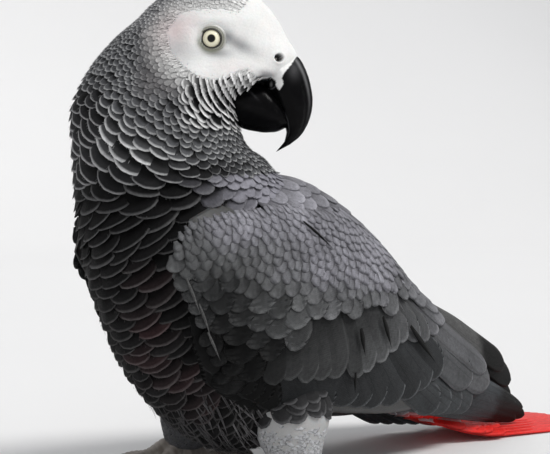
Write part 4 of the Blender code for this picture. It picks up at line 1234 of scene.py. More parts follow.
# ------------------------------------------------------------------ neck, breast, belly and back
low_down = ~high_up
bt, bq, p, lie_b, nrm, gap, col = (v[low_down] for v in (st, sq, sp, sway, snrm, sa, sb))
n = len(p)
front = smooth(0.25, -0.35, np.sin(bq))                 # 1 on the breast side
back = smooth(-0.1, 0.55, np.sin(bq)) * smooth(0.74, 0.66, bt)
neckish = smooth(0.56, 0.68, bt)
rumpish = smooth(0.26, 0.16, bt) * smooth(-0.2, 0.3, np.sin(bq))
vent = smooth(0.17, 0.10, bt) * smooth(0.3, -0.3, np.sin(bq))
belly = smooth(0.40, 0.26, bt) * front
red = smooth(0.125, 0.09, bt)
length = gap * 3.4 * (1 + 0.08 * rng.normal(size=n)) * (1 + 0.35 * belly)
width = col * 1.5 * (1 + 0.07 * rng.normal(size=n))
lie_b = unit(lie_b + rng.normal(size=(n, 3)) * 0.075)
# the breast and lower neck's near-black tones: partly their real dark grey, partly painted shade on the side turned
# from the light
tone = mix(np.broadcast_to(np.array([0.0075, 0.0075, 0.0078]), (n, 3)), (0.0060, 0.0060, 0.0063), neckish)
edge = mix(np.broadcast_to(np.array([0.064, 0.062, 0.062]), (n, 3)), (0.095, 0.095, 0.097), neckish)
shoulder_side = smooth(0.62, 0.5, bt)
tone, edge = mix(tone, MAUVE * 1.6, back), mix(edge, MAUVE * 1.8, back)
wine = np.exp(-((bq - 4.957 - 4.6 * (bt - 0.514)) / 0.11) ** 2) * smooth(0.63, 0.59, bt) * smooth(0.49, 0.515, bt)
wine = 0.42 * rng.uniform(0.3, 1.0, n) * np.maximum(wine, np.exp(-((bq - 5.17) / 0.13) ** 2) * smooth(0.515, 0.495, bt) * smooth(0.43, 0.45, bt))
tone, edge = mix(tone, (0.060, 0.026, 0.028), wine), mix(edge, (0.19, 0.11, 0.115), wine)
tone, edge = mix(tone, (0.055, 0.050, 0.054), belly * 0.6), mix(edge, (0.22, 0.205, 0.215), belly * 0.6)
tone, edge = mix(tone, (0.30, 0.30, 0.32), rumpish), mix(edge, (0.50, 0.50, 0.52), rumpish)
tone, edge = mix(tone, (0.20, 0.19, 0.20), vent), mix(edge, (0.36, 0.34, 0.36), vent)
tone, edge = mix(tone, RED, red), mix(edge, RED * 1.1, red)
tone = tone * (1 + 0.12 * rng.normal(size=(n, 1)))
edge = edge * (1 + 0.10 * rng.normal(size=(n, 1)))
depth = np.interp(bt, [0.0, 0.2, 0.4, 0.6, 0.72, 0.82], [1.8, 2.2, 2.6, 2.5, 2.3, 2.1]) * (1 - 0.3 * back)
edge_w = (0.56 + 0.08 * neckish + 0.44 * back) * (1 + 0.22 * rng.normal(size=n).clip(-1.5, 1.5))
uvb = np.stack([bq / (2 * math.pi), bt / 0.83], 1)
for name, part in (("coat_breast", (np.sin(bq) < 0.1) & (bt < 0.60)), ("coat_neck", bt >= 0.60), ("coat_back", (np.sin(bq) >= 0.1) & (bt < 0.60))):
    coat = Coat(name)
    k = part
    coat.add(on_hull(BODY_HULL, body_outward, (p - lie_b * (length * 0.38)[:, None])[k], lie_b[k], nrm[k]),
             length[k], width[k], "arc", np.clip(tone[k], .004, .9), np.clip(edge[k], .005, .9), uvb[k],
             sections=9, across=9, under=1, z_root=-depth[k] - 0.3, z_tip=0.12 + 0.15 * neckish[k] - 0.08 * back[k], power=1.15,
             camber=0.07 + 0.01 * neckish[k] - 0.04 * back[k], thick=0.18, edge_width=edge_w[k], curl=0.15 + 0.15 * neckish[k] - 0.1 * back[k],
             bend=rng.normal(size=k.sum()) * 0.05, ragged=0.30, show=gap[k] * (1.0 + 0.9 * back[k]))
    coat.finish(MATS["body"])

hairy = Coat("coat_body_barbs")
k = ((np.sin(bq) < 0.35) | (bt >= 0.60)) & (bt > 0.16)
add_barbs(hairy, p[k], lie_b[k], nrm[k], length[k], width[k], np.clip(tone[k], .004, .9), np.clip(edge[k], .005, .9), uvb[k],
          8, gap[k] * 0.27, 0.38, -depth[k] - 0.3, 0.12 + 0.15 * neckish[k] - 0.08 * back[k], 1.15, 0.15 + 0.15 * neckish[k] - 0.1 * back[k])
hairy.finish(MATS["body"])

# loose, hair-like tufts on the belly and between the legs
soft_t = rng.uniform(0.20, 0.46, 680)
soft_q = rng.uniform(3.55, 5.85, 680)
p, lie, around, nrm = body_frame(soft_t, soft_q)
keep = ~over_wing(p, 4.0)
soft_t, soft_q, p, lie, nrm = (v[keep] for v in (soft_t, soft_q, p, lie, nrm))
n = len(p)
fluff = Coat("coat_belly_tufts")
grow = unit(lie + rng.normal(size=(n, 3)) * 0.16 - UP * 0.5)
wisp = np.exp(-((soft_t - 0.375) / 0.055) ** 2) * np.exp(-((np.abs(soft_q - 4.712) - 0.62) / 0.24) ** 2) * rng.uniform(0.05, 0.85, n)
fluff.add(on_hull(BODY_HULL, body_outward, p, grow, nrm), rng.uniform(8, 17, n), rng.uniform(0.4, 1.0, n), "lock",
          np.clip(mix(vary((0.022, 0.021, 0.022), n, 0.3), (0.20, 0.195, 0.20), wisp), 0.005, 0.9), np.clip(mix(vary((0.06, 0.058, 0.06), n, 0.2), (0.42, 0.41, 0.42), wisp), 0.01, 0.9),
          np.stack([soft_q / 6.2832, soft_t], 1), sections=8, across=3, under=1,
          z_root=-1.2, z_tip=0.6 + 0.9 * rng.uniform(size=n), curl=rng.uniform(-0.3, 1.3, n), camber=0.2, thick=0.2, edge_width=0.3, bend=rng.normal(size=n) * 0.03)
fluff.finish(MATS["fluff"])

# ------------------------------------------------------------------ thighs
for side in ("left", "right"):
    path, radii = thigh_path(side, 40)
    rings = round_path(path, radii, 60)
    tree = hull_of(rings, top=path[-1] - UP * 3, bottom=path[0])

    def outward(q, path=path):
        d = ((q[:, None] - path[None]) ** 2).sum(-1)
        return q - path[d.argmin(1)]

    def on_thigh(i, a):
        place = i * 39
        r0 = np.clip(place.astype(int), 0, 38)
        fr = (place - r0)[:, None]
        col = (a / (2 * math.pi) * 60).astype(int) % 60
        root = rings[r0, col] * (1 - fr) + rings[r0 + 1, col] * fr
        return root, unit(root - (path[r0] * (1 - fr) + path[r0 + 1] * fr))

    tuft = Coat(f"coat_thigh_{side}")
    # soft, smooth strands over the lower thigh
    count = 900
    i = rng.uniform(0.50, 0.93, count)
    a = rng.uniform(0, 2 * math.pi, count)
    root, nrm = on_thigh(i, a)
    grow = unit(np.array([0, 0.05, -1.0]) + rng.normal(size=(count, 3)) * 0.05)
    size = rng.uniform(10, 15, count) * (1 - 0.5 * smooth(0.7, 1.0, i))
    # the same pale fluff on both thighs: the far (right) thigh's strands darkened as painted shade
    tone = vary((0.40, 0.405, 0.42) if side == "left" else (0.075, 0.076, 0.082), count, 0.08)
    tuft.add(on_hull(tree, outward, root, grow, nrm), size, rng.uniform(4.5, 7.0, count), "scale", tone, np.clip(tone * 1.03, 0, .9),
             np.stack([a / 6.2832, i], 1), sections=8, across=5, under=1, z_root=-1.5, z_tip=-0.36 + 0.1 * rng.uniform(size=count), curl=0.0,
             camber=0.03, thick=0.05, edge_width=0.7, bend=rng.normal(size=count) * 0.04, ragged=0.5, show=14.0)
    # dark flank feathers hanging over the upper thigh
    for top_i, low_z in ((0.02, -0.6), (0.10, -0.4), (0.18, -0.2), (0.25, 0.0))[:3 if side == "left" else 4]:
        count = 18
        i = np.full(count, top_i) + rng.normal(size=count) * 0.015
        a = (np.arange(count) + 0.5 * (round(top_i * 10) % 2) + rng.normal(size=count) * 0.1) / count * 2 * math.pi % (2 * math.pi)
        root, nrm = on_thigh(np.clip(i, 0, 0.9), a)
        grow = unit(np.array([0, 0.28, -1.0]) + rng.normal(size=(count, 3)) * 0.07)
        tone = vary((0.020, 0.020, 0.021), count, 0.14)
        tuft.add(on_hull(tree, outward, root, grow, nrm), rng.uniform(17, 21, count), rng.uniform(9, 11, count), "scale", tone, vary((0.085, 0.085, 0.088), count, 0.1),
                 np.stack([a / 6.2832, np.full(count, top_i)], 1), sections=10, across=7, under=3, z_root=-2.0, z_tip=0.5 + low_z,
                 curl=0.35, camber=0.1, thick=0.2, edge_width=0.8, bend=rng.normal(size=count) * 0.05, ragged=0.3, show=6.0)
    tuft.finish(MATS["fluff"])

# ------------------------------------------------------------------ wings
def row(table, n, jitter=0.0):
    """Rows are given as (share, tip s, tip h, angle below the wing line, length, width)."""
    table = np.array(table, float)
    x = (np.arange(n) + 0.5) / n + rng.normal(size=n) * jitter / n
    return spline(table[:, 0], table[:, 1:], np.clip(x, 0, 1)).T


MEDIAN_LOW = [(0, 2, -14, 56, 20, 9), (0.17, 19, -5, 55, 21, 10), (0.30, 32, -2.2, 54, 22, 11), (0.48, 52, 0.2, 52, 22, 12),
              (0.63, 70, 4.3, 46, 22, 12), (0.76, 85, 12, 34, 22, 12), (0.88, 98, 21, 22, 22, 12), (1, 112, 30, 14, 22, 12)]
MEDIAN_UP = [(0, -2, -5, 56, 15, 8), (0.18, 14, 2.5, 55, 16, 8.5), (0.32, 29, 5, 54, 17, 9), (0.5, 48, 8.5, 50, 17, 10),
             (0.65, 66, 14, 42, 17, 10), (0.8, 80, 23, 28, 17, 10), (1, 96, 33, 16, 17, 11)]
GREATER = [(0, 40, -27, 46, 34, 11), (0.14, 54, -21, 50, 38, 12.5), (0.26, 66, -17, 52, 42, 13.5), (0.38, 77, -12, 50, 42, 14),
           (0.50, 92, -5, 43, 42, 14.5), (0.62, 101, 4, 33, 42, 14.5), (0.74, 111, 12.5, 24, 42, 14.5), (0.88, 124, 22, 15, 42, 15),
           (1, 134, 30, 11, 42, 15)]
SECONDARY = [(0, 62, -38, 38, 60, 14), (0.1, 74, -31.5, 34, 78, 17), (0.22, 83, -27, 31, 84, 18), (0.34, 95, -18.5, 27, 88, 19), (0.46, 105, -15.5, 24, 92, 19),
             (0.57, 114, -12.5, 21, 94, 19), (0.68, 125, -6.5, 17, 94, 19), (0.80, 134, 1.0, 13, 94, 19), (0.92, 140, 9, 11, 92, 19), (1, 146, 14, 10, 90, 18)]
TERTIAL = [(0, 158, 13.5, 9, 84, 18), (0.5, 182, 18.5, 7, 92, 20), (1, 176, 29, 10, 84, 18)]
PRIMARY = [(0, 200, 2.5, -9, 130, 14), (0.12, 216, 9, -9, 142, 14.5), (0.24, 224, 14.5, -9, 148, 15), (0.35, 221, 18, -8, 146, 15),
           (0.46, 213, 18, -7, 138, 15), (0.58, 205, 16.5, -7, 128, 15), (0.70, 197, 14.5, -7, 118, 15), (0.85, 186, 13, -6, 108, 15), (1, 174, 11, -6, 98, 15)]

# the wing's front edge: the least s at each height
FRONT_EDGE = np.array([(-27.0, 30.0), (-24.0, 20.0), (-18.4, 9.0), (-8.0, -3.5), (1.6, -11.5), (8.0, -12.0), (13.0, -10.5), (17.0, -7.0), (20.5, -2.5), (24.5, 3.5), (29.0, 11.5), (36.0, 25.0), (41.0, 38.0), (46.0, 60.0)])


LESSER_AREA = np.array([(116, 52), (114, 34), (98, 22.5), (85, 13), (70, 5), (58, 0), (51, -8), (48, -17), (46, -26), (42, -33), (30, -29), (20, -24.5), (9, -18.6), (-3.5, -8.0),
                        (-11.5, 1.6), (-12.0, 8.0), (-10.5, 13.0), (-7.0, 17.0), (-2.5, 20.5), (3.5, 25.0), (10.5, 30.5), (21.0, 38.0), (34, 44), (56, 49), (80, 52)])


def covert_angle(s, h):
    """Direction of the small coverts, in degrees below the wing's line."""
    base = np.array(MEDIAN_UP)
    over = h - np.interp(s, base[:, 1], base[:, 2])
    return np.clip(np.interp(s, base[:, 1], base[:, 3]) - 0.42 * np.maximum(over, 0) * smooth(-10, 30, s), 6, 68) + 8 * smooth(0, -14, h)


# tone points (s, h, value) over the wing: the feathers' own colours with painted light, paler where the top of the wing
# is lit, and painted shade, darker on the lower front
WING_TONES = np.array([
    (3, 20, 0.185), (11, 28, 0.30), (-7, 5, 0.085), (-11, 14, 0.13), (22, 8, 0.105), (34, 14, 0.14), (52, 22, 0.20), (14, -7, 0.022), (3, -9, 0.030), (32, -22, 0.006),
    (20, -18, 0.008), (52, -1, 0.080), (85, 11, 0.084), (62, 8, 0.104), (76, -13, 0.038), (60, -20, 0.017), (120, -7, 0.050), (155, 14, 0.105), (88, 37, 0.27), (37, 38, 0.24), (69, 32, 0.23),
    (125, 32, 0.14), (74, -31, 0.011), (45, -24, 0.006), (98, -22, 0.024), (140, 2, 0.060), (38, -6, 0.042), (180, 22, 0.10), (105, 22, 0.10), (20, 34, 0.22),
])


def wing_shade(s, h):
    """Feather colour over the wing: purple-grey shoulder, slate middle, paler inner feathers and a dark lower front,
    the values carrying painted light on the upper wing and painted shade on the lower front.
    """
    s, h = np.asarray(s, float), np.asarray(h, float)
    w = 1 / ((s[..., None] - WING_TONES[:, 0]) ** 2 + (h[..., None] - WING_TONES[:, 1]) ** 2 + 9.0) ** 1.6
    value = np.exp((w * np.log(WING_TONES[:, 2])).sum(-1) / w.sum(-1))
    hue = mix(np.broadcast_to(np.array([0.975, 1.0, 1.02]), s.shape + (3,)), (0.975, 0.965, 1.075), smooth(0.06, 0.2, value))
    return hue * value[..., None]


for side in ("left", "right"):
    table = wing_table(side, WING_SHIFT[side])
    ptable = wing_table(side, PRIMARY_SHIFT[side])
    # primaries: the longest and outermost lie lowest, each inner one over the next
    coat = Coat(f"primaries_coat_{side}")
    s, h, a, ln, wd = row(PRIMARY, 10)
    order = np.arange(10)
    g = g_of(s, h)
    inset = np.interp(s, PRIMARY_INSET[:, 0], PRIMARY_INSET[:, 1])
    tone = vary((0.036, 0.040, 0.044), 10, 0.12)
    edge = tone * 1.7
    depth = 0.55 * (9 - order) * 0.42
    coat.add(on_wing(ptable, np.stack([s, g], 1), a, ln, np.full(10, -0.035)), ln, wd, "primary", tone, edge, wing_uv(s, g), sections=24, across=9, under=3,
             z_root=-7.0, z_tip=-np.maximum(inset, 0.6) + 0.2 - depth * 0.3, power=0.9, camber=0.05, thick=0.25, edge_width=0.8, bend=-0.035, show=14.0)
    black = smooth(195.0, 198.5, (coat.verts[-1] - WRIST) @ E1)
    coat.tone[-1][:, :3] = mix(coat.tone[-1][:, :3], 0.0030, black)
    coat.edge[-1][:, :3] = mix(coat.edge[-1][:, :3], 0.009, black)
    coat.finish(MATS["flight"], (f"primaries_{side}",))

    coat = Coat(f"secondaries_{side}")
    s, h, a, ln, wd = row(SECONDARY, 10)
    g = g_of(s, h)
    layer = (9 - np.arange(10)) * 0.14
    # painted shade: the front secondaries darkened to run on from the shaded lower front of the wing
    front_shade = np.interp(s, [62, 84, 105], [0.35, 0.8, 1.0])[:, None]
    coat.add(on_wing(table, np.stack([s, g], 1), a, ln, np.full(10, -0.05)), ln, wd, "quill", vary((0.025, 0.027, 0.029), 10, 0.14) * front_shade, vary((0.105, 0.11, 0.116), 10, 0.10) * front_shade, wing_uv(s, g),
             sections=22, across=9, under=3, z_root=-4.4, z_tip=-1.0 - layer, power=1.0, camber=0.035, thick=0.25, edge_width=0.9, bend=-0.05, show=12.0)
    # outer flight feathers that show between the secondaries and the primaries
    s, h, a, ln, wd = row([(0, 148, -5, 8, 70, 16), (0.5, 163, 0.5, 5, 76, 16), (1, 178, 6, 2, 80, 16)], 4)
    g = g_of(s, h)
    coat.add(on_wing(table, np.stack([s, g], 1), a, ln, np.full(4, -0.03)), ln, wd, "quill", vary((0.042, 0.046, 0.049), 4, 0.12), vary((0.085, 0.09, 0.096), 4, 0.08), wing_uv(s, g),
             sections=20, across=9, under=3, z_root=-4.2, z_tip=-1.75 + 0.12 * np.arange(4), power=1.0, camber=0.035, thick=0.2, edge_width=0.9, bend=-0.03, show=14.0)
    s, h, a, ln, wd = row(TERTIAL, 3)
    g = g_of(s, h)
    coat.add(on_wing(table, np.stack([s, g], 1), a, ln, np.full(3, -0.02)), ln, wd, "quill", np.array([(0.070, 0.072, 0.076), (0.088, 0.089, 0.094), (0.085, 0.086, 0.092)]),
             vary((0.15, 0.15, 0.16), 3, 0.05), wing_uv(s, g), sections=22, across=9, under=3, z_root=-3.4, z_tip=np.array([-0.9, -0.6, -0.3]), power=1.0, camber=0.04,
             thick=0.25, edge_width=0.9, bend=-0.02, show=14.0)
    if side == "right":
        # dark inner feathers of the other wing, standing above the end of the near one
        tips = np.array([(9.0, 154.0, 23.5), (12.0, 146.0, 31.5), (4.0, 160.0, 15.0)])
        roots = np.array([(18.0, 92.0, 62.0), (20.0, 88.0, 64.0), (8.0, 96.0, 52.0)])
        ln = np.linalg.norm(tips - roots, axis=1)
        way = unit(tips - roots)
        nrm = unit(np.array([0.75, -0.45, 0.5]) - way * (way @ np.array([0.75, -0.45, 0.5]))[:, None])
        across_ = np.cross(way, nrm)

        def hang(x, y):
            q = roots[:, None, None] + across_[:, None, None] * x[..., None] + way[:, None, None] * y[..., None]
            return q, np.broadcast_to(nrm[:, None, None], q.shape)

        coat.add(hang, ln, np.array([13.5, 12.5, 12.0]), "quill", np.full((3, 3), 0.075), np.full((3, 3), 0.11), np.array([(0.9, 0.9), (0.92, 0.9), (0.94, 0.9)]),
                 sections=20, across=9, under=3, z_root=-3.0, z_tip=0.0, power=1.0, camber=0.12, thick=0.3, edge_width=0.6, show=14.0)
        black = smooth(126.0, 131.0, coat.verts[-1][:, 1])
        coat.tone[-1][:, :3] = mix(coat.tone[-1][:, :3], 0.0055, black)
        coat.edge[-1][:, :3] = mix(coat.edge[-1][:, :3], 0.010, black)
    coat.finish(MATS["flight"])

    coat = Coat(f"coverts_{side}")

    def lay(n, data, z_tip, z_root, bright=1.0, rim=1.6, kind="covert", sections=10, edge_w=0.8, jit=0.25, across=7, clip=True, show=None, tint=None):
        s, h, a, ln, wd = row(data, n, jit * 0.5)
        a = a + rng.normal(size=n) * 3
        if clip:
            aa = np.radians(a)
            ok = s > np.interp(h, FRONT_EDGE[:, 0], FRONT_EDGE[:, 1]) + 1.5
            for share in (1.0, 0.7, 0.5):
                out = s - share * ln * np.cos(aa) < np.interp(h + share * ln * np.sin(aa), FRONT_EDGE[:, 0], FRONT_EDGE[:, 1]) - 1.0
                if share < 1.0:
                    ok &= ~(out & short)
                    ln = np.where(short & ok, ln * share, ln) if share == 0.7 else ln
                short = out
            s, h, a, ln, wd = (v[ok] for v in (s, h, a, ln, wd))
        m = len(s)
        if not m:
            return
        g = g_of(s, h)
        aa = np.radians(a)
        mid_s, mid_h = s - 0.3 * ln * np.cos(aa), h + 0.3 * ln * np.sin(aa)
        tone = wing_shade(mid_s, mid_h) * bright
        if tint is not None:
            tone = mix(tone, tint, 0.7)
        tone = tone * (1 + 0.07 * rng.normal(size=(m, 1)))
        coat.add(on_wing(table, np.stack([s, g], 1), a, ln, np.full(m, -0.04)), ln * (1 + 0.04 * rng.normal(size=m)), wd * (1 + 0.05 * rng.normal(size=m)), kind,
                 tone, np.clip(tone * rim * (1 + 0.06 * rng.normal(size=(m, 1))), 0, .9), wing_uv(s, g), sections=sections, across=across, under=3, z_root=z_root,
                 z_tip=z_tip + 0.07 * (np.arange(m) % 2), power=1.1, camber=0.035, thick=0.16, edge_width=edge_w, bend=-0.04, curl=0.08, ragged=0.10,
                 show=ln * 0.42 if show is None else show)

    # greater coverts
    # tone scaled down to 0.74: painted shade on the lower part of the wing
    lay(14, GREATER, -0.95, -2.6, 0.74, 1.9, sections=14, across=9, edge_w=1.3)
    # lesser coverts, evenly spread over the shoulder and down the front edge
    m = 12000
    s, h = rng.uniform(-14, 116, m), rng.uniform(-36, 50, m)
    c, aa, bb = spline(WING_FORM[:, 0], WING_FORM[:, 1:], np.clip(s, -13, 230)).T
    top, bottom, _ = spline(PLATE[:, 0], PLATE[:, 1:], np.clip(s, -13, 184)).T
    ok = (signed_distance(LESSER_AREA, s, h) < 0) & (s > np.interp(h, FRONT_EDGE[:, 0], FRONT_EDGE[:, 1]) + 2.2 * smooth(14, 4, h)) & (h < c + bb * np.sin(np.radians(top)) + 2.0)
    s, h = s[ok], h[ok]
    g = g_of(s, h)
    angle = covert_angle(s, h)
    far = s - np.interp(h, FRONT_EDGE[:, 0], FRONT_EDGE[:, 1])
    low_line = np.interp(s, [-12, 2, 19, 32, 52, 70, 85, 98, 112], [-8, -14, -8, -3, 0, 4, 12, 21, 30])
    medium = smooth(17, 3, h - low_line)
    size = (3.1 + 4.1 * medium) * (0.62 + 0.38 * smooth(0, 16, far))
    flat = np.stack([s, g, 0 * s], 1)
    way = np.stack([np.cos(np.radians(angle)), -np.sin(np.radians(angle)), 0 * s], 1)
    k = thin_out(flat, way, size, size * 1.3, 0.84)
    spread = even_out(flat[k], way[k], size[k], size[k] * 1.3, np.broadcast_to([0, 0, 1.0], (len(k), 3)), 8)
    s, g, size, angle, medium = spread[:, 0], spread[:, 1], size[k], angle[k], medium[k]
    h = h_of(s, g)
    far = s - np.interp(h, FRONT_EDGE[:, 0], FRONT_EDGE[:, 1])
    inside = (signed_distance(LESSER_AREA, s, np.minimum(h, 51)) < 0.6) & (s > -13.5) & (far > 1.6 * smooth(14, 4, h) - 0.4)
    s, g, size, angle, medium, h, far = (v[inside] for v in (s, g, size, angle, medium, h, far))
    m = len(s)
    ln = size * np.minimum(3.0, 1.7 + np.maximum(far, 0) / 6.0)
    tone = wing_shade(s, h) * (1 + (0.05 + 0.10 * medium)[:, None] * rng.normal(size=(m, 1)))
    coat.add(on_wing(table, np.stack([s, g], 1), angle + rng.normal(size=m) * 7, ln, np.full(m, -0.04)), ln, size * (1.5 + 0.45 * smooth(2, 9, far)) * (1 + 0.12 * rng.normal(size=m)), "scale",
             tone * (1.06 - 0.14 * medium)[:, None], np.clip(tone * (1.0 + 0.67 * medium)[:, None] * (1 + 0.08 * rng.normal(size=(m, 1))), 0, .9), wing_uv(s, g), sections=9, across=7, under=1,
             z_root=-0.42 - 0.83 * medium, z_tip=-0.30 + 0.04 * rng.uniform(size=m) + 0.3 * smooth(30, 42, h), power=1.1, camber=0.004 + 0.014 * medium, thick=0.035, edge_width=0.7 + 0.9 * medium, bend=-0.04, curl=0.02,
             ragged=0.10, show=size * (8.0 - 6.7 * medium))
    # long pale edge feathers along the wing's leading edge
    rim_tips = np.array([(5.5, -11.0, 47), (14.0, -16.5, 44), (24.0, -22.5, 38)])
    g = g_of(rim_tips[:, 0], rim_tips[:, 1])
    coat.add(on_wing(table, np.stack([rim_tips[:, 0], g], 1), rim_tips[:, 2], np.full(3, 15.0), np.full(3, 0.02)), np.full(3, 15.0), np.full(3, 0.9), "lock", np.full((3, 3), 0.07), np.full((3, 3), 0.10),
             wing_uv(rim_tips[:, 0], g), sections=12, across=3, under=1, z_root=-0.2, z_tip=0.1, power=1.0, camber=0.05, thick=0.25, edge_width=0.2, bend=0.02, show=30.0)
    # coverts of the lower edge, over the roots of the outer secondaries
    # tones scaled down to 0.65 and 0.6: painted shade on the wing's lower edge
    lay(8, [(0, 26, -27, 44, 30, 11), (0.5, 42, -30, 40, 34, 12), (1, 62, -32, 38, 38, 13)], -1.1, -2.6, 0.65, 1.9, sections=12, clip=False)
    lay(7, [(0, 34, -32, 46, 34, 12), (0.5, 52, -35, 40, 38, 13), (1, 74, -36, 36, 42, 14)], -1.5, -3.4, 0.6, 1.7, sections=12, clip=False)
    # scapulars and inner coverts along the back
    for j, (dh, z0) in enumerate(((-1, -0.5), (4, -0.4), (9, -0.3), (14, -0.2), (19, -0.1))):
        top_row = [(0, 30, 40 + dh, 24, 19, 12), (0.3, 58, 37 + dh, 18, 23, 13), (0.6, 92, 38 + dh * 0.8, 12, 27, 14), (0.85, 124, 36 + dh * 0.5, 9, 31, 15), (1, 146, 33 + dh * 0.3, 9, 34, 15)]
        lay(12, top_row, z0, -1.6, 1.0 + 0.03 * j, 1.25, sections=11, clip=False, edge_w=1.3)
    # dark strips painted as the shadow in the slits between the feathers
    shadow_slits = np.array([(54.0, 32.0, 24, 17.0, 1.5), (87.0, 0.5, 46, 12.0, 2.4), (101.0, 8.0, 38, 15.0, 2.4), (134.0, 12.5, 17, 26.0, 2.8), (92.0, -14.0, 50, 10.0, 1.6)])
    g = g_of(shadow_slits[:, 0], shadow_slits[:, 1])
    coat.add(on_wing(table, np.stack([shadow_slits[:, 0], g], 1), shadow_slits[:, 2], shadow_slits[:, 3], np.zeros(5)), shadow_slits[:, 3], shadow_slits[:, 4], "lock", np.full((5, 3), 0.006), np.full((5, 3), 0.008),
             wing_uv(shadow_slits[:, 0], g), sections=9, across=3, under=1, z_root=0.0, z_tip=-0.12, power=1.0, camber=0.05, thick=0.2, edge_width=0.1)
    coat.finish(MATS["wing"])

# ------------------------------------------------------------------ tail
TAIL_ROOT, TAIL_LENGTH = (0.0, 104.0), 88.0
TAIL = np.array([(0.00, 9.0, 16.0, 8.0), (0.15, 12.5, 11.5, 3.0), (0.30, 16.0, 8.2, 0.0), (0.50, 20.5, 5.6, 0.0), (0.70, 24.0, 4.0, 0.0), (0.88, 26.0, 3.0, 0.0), (1.00, 27.0, 2.0, 0.0)])


def on_tail(root, angle, bend=0.0):
    a = np.radians(angle)
    way = np.stack([np.sin(a), np.cos(a)], -1)
    side = np.stack([np.cos(a), -np.sin(a)], -1)

    def place(x, y):
        q = root[:, None, None] + side[:, None, None] * x[..., None] + way[:, None, None] * y[..., None]
        t = np.clip((q[..., 1] - TAIL_ROOT[1]) / TAIL_LENGTH, -0.1, 1.0)
        w, top, under = spline(TAIL[:, 0], TAIL[:, 1:], np.clip(t, 0, 1).ravel()).T.reshape((3,) + t.shape)
        u = np.clip(q[..., 0] / w, -1.15, 1.15)
        z = under + (top - under) * (1 - 0.5 * u * u)
        p = np.stack([q[..., 0], q[..., 1], z], -1)
        nrm = np.stack([0.25 * u, 0.12 + 0 * u, 1 + 0 * u], -1)
        return p, unit(nrm)
    return place


coat = Coat("tail_feathers_coat")
k = np.array([-6, 6, -5, 5, -4, 4, -3, 3, -2, 2, -1, 1], float)
m_ = np.abs(k)
root = np.stack([k * 0.9, np.full(12, 104.0) - m_ * 0.3], 1)
ends = np.stack([np.sign(k) * (m_ - 0.5) * 4.05, 104.0 + 88.0 * (1 - 0.085 * ((m_ - 0.5) / 5.5) ** 2)], 1)
gapv = ends - root
coat.add(on_tail(root, np.degrees(np.arctan2(gapv[:, 0], gapv[:, 1]))), np.linalg.norm(gapv, axis=1), 12.5 - 0.15 * m_, "quill",
         vary(RED, 12, 0.07), vary(RED * 1.25, 12, 0.05), np.stack([(k + 7) / 14, np.full(12, 0.5)], 1), sections=22, across=7, under=3,
         z_root=-1.0 - 0.30 * (m_ - 1), z_tip=-0.1 - 0.16 * (m_ - 1), camber=0.05, thick=0.3, edge_width=0.5, show=12.0)
# upper tail coverts over the root of the tail
for r in range(6):
    nrow = 7
    x = (np.arange(nrow) - (nrow - 1) / 2 + 0.25 * (r % 2)) * (1.9 + 0.35 * r)
    root = np.stack([x, np.full(nrow, 96.0 + 5.0 * r) + rng.normal(size=nrow)], 1)
    tone = mix(np.broadcast_to(np.array([0.50, 0.50, 0.52]), (nrow, 3)), RED, np.full(nrow, smooth(-0.5, 1.0, r)))
    coat.add(on_tail(root, x * 1.4), rng.uniform(20, 24, nrow), np.full(nrow, 8.0), "covert", tone, tone * 1.2, np.stack([(x + 20) / 40, np.full(nrow, 0.1 + 0.1 * r)], 1), sections=9, across=5,
             under=1, z_root=-1.5, z_tip=0.5, camber=0.08, thick=0.2, edge_width=0.4)
coat.finish(MATS["tail"], ("tail",))

# ------------------------------------------------------------------ eyes
def eye_material():
    m, t, b = nodes_for("eye_surface")
    tone = attribute(t, "tone")
    fine = noise(t, object_coords(t), 2600.0, 3.0)
    light = maths(t, "ADD", maths(t, "MULTIPLY", fine, 0.2), 0.9)
    grey = t.nodes.new("ShaderNodeCombineColor")
    for i in range(3):
        t.links.new(light, grey.inputs[i])
    t.links.new(blend(t, 1.0, tone.outputs["Color"], grey.outputs[0], "MULTIPLY"), b.inputs["Base Color"])
    b.inputs["Roughness"].default_value = 0.35
    b.inputs["Specular IOR Level"].default_value = 0.15
    b.inputs["Coat Weight"].default_value = 0.55
    b.inputs["Coat Roughness"].default_value = 0.02
    b.inputs["Coat IOR"].default_value = 1.3
    return m


def lid_material():
    m, t, b = nodes_for("eyelid")
    tone = attribute(t, "tone")
    fine = noise(t, object_coords(t), 2200.0, 4.0)
    grey = t.nodes.new("ShaderNodeCombineColor")
    light = maths(t, "ADD", maths(t, "MULTIPLY", fine, 0.5), 0.75)
    for i in range(3):
        t.links.new(light, grey.inputs[i])
    t.links.new(blend(t, 1.0, tone.outputs["Color"], grey.outputs[0], "MULTIPLY"), b.inputs["Base Color"])
    t.links.new(ramp(t, fine, 0.3, 0.7, 0.38, 0.6), b.inputs["Roughness"])
    bump(t, b, fine, 0.00008, 0.6)
    return m


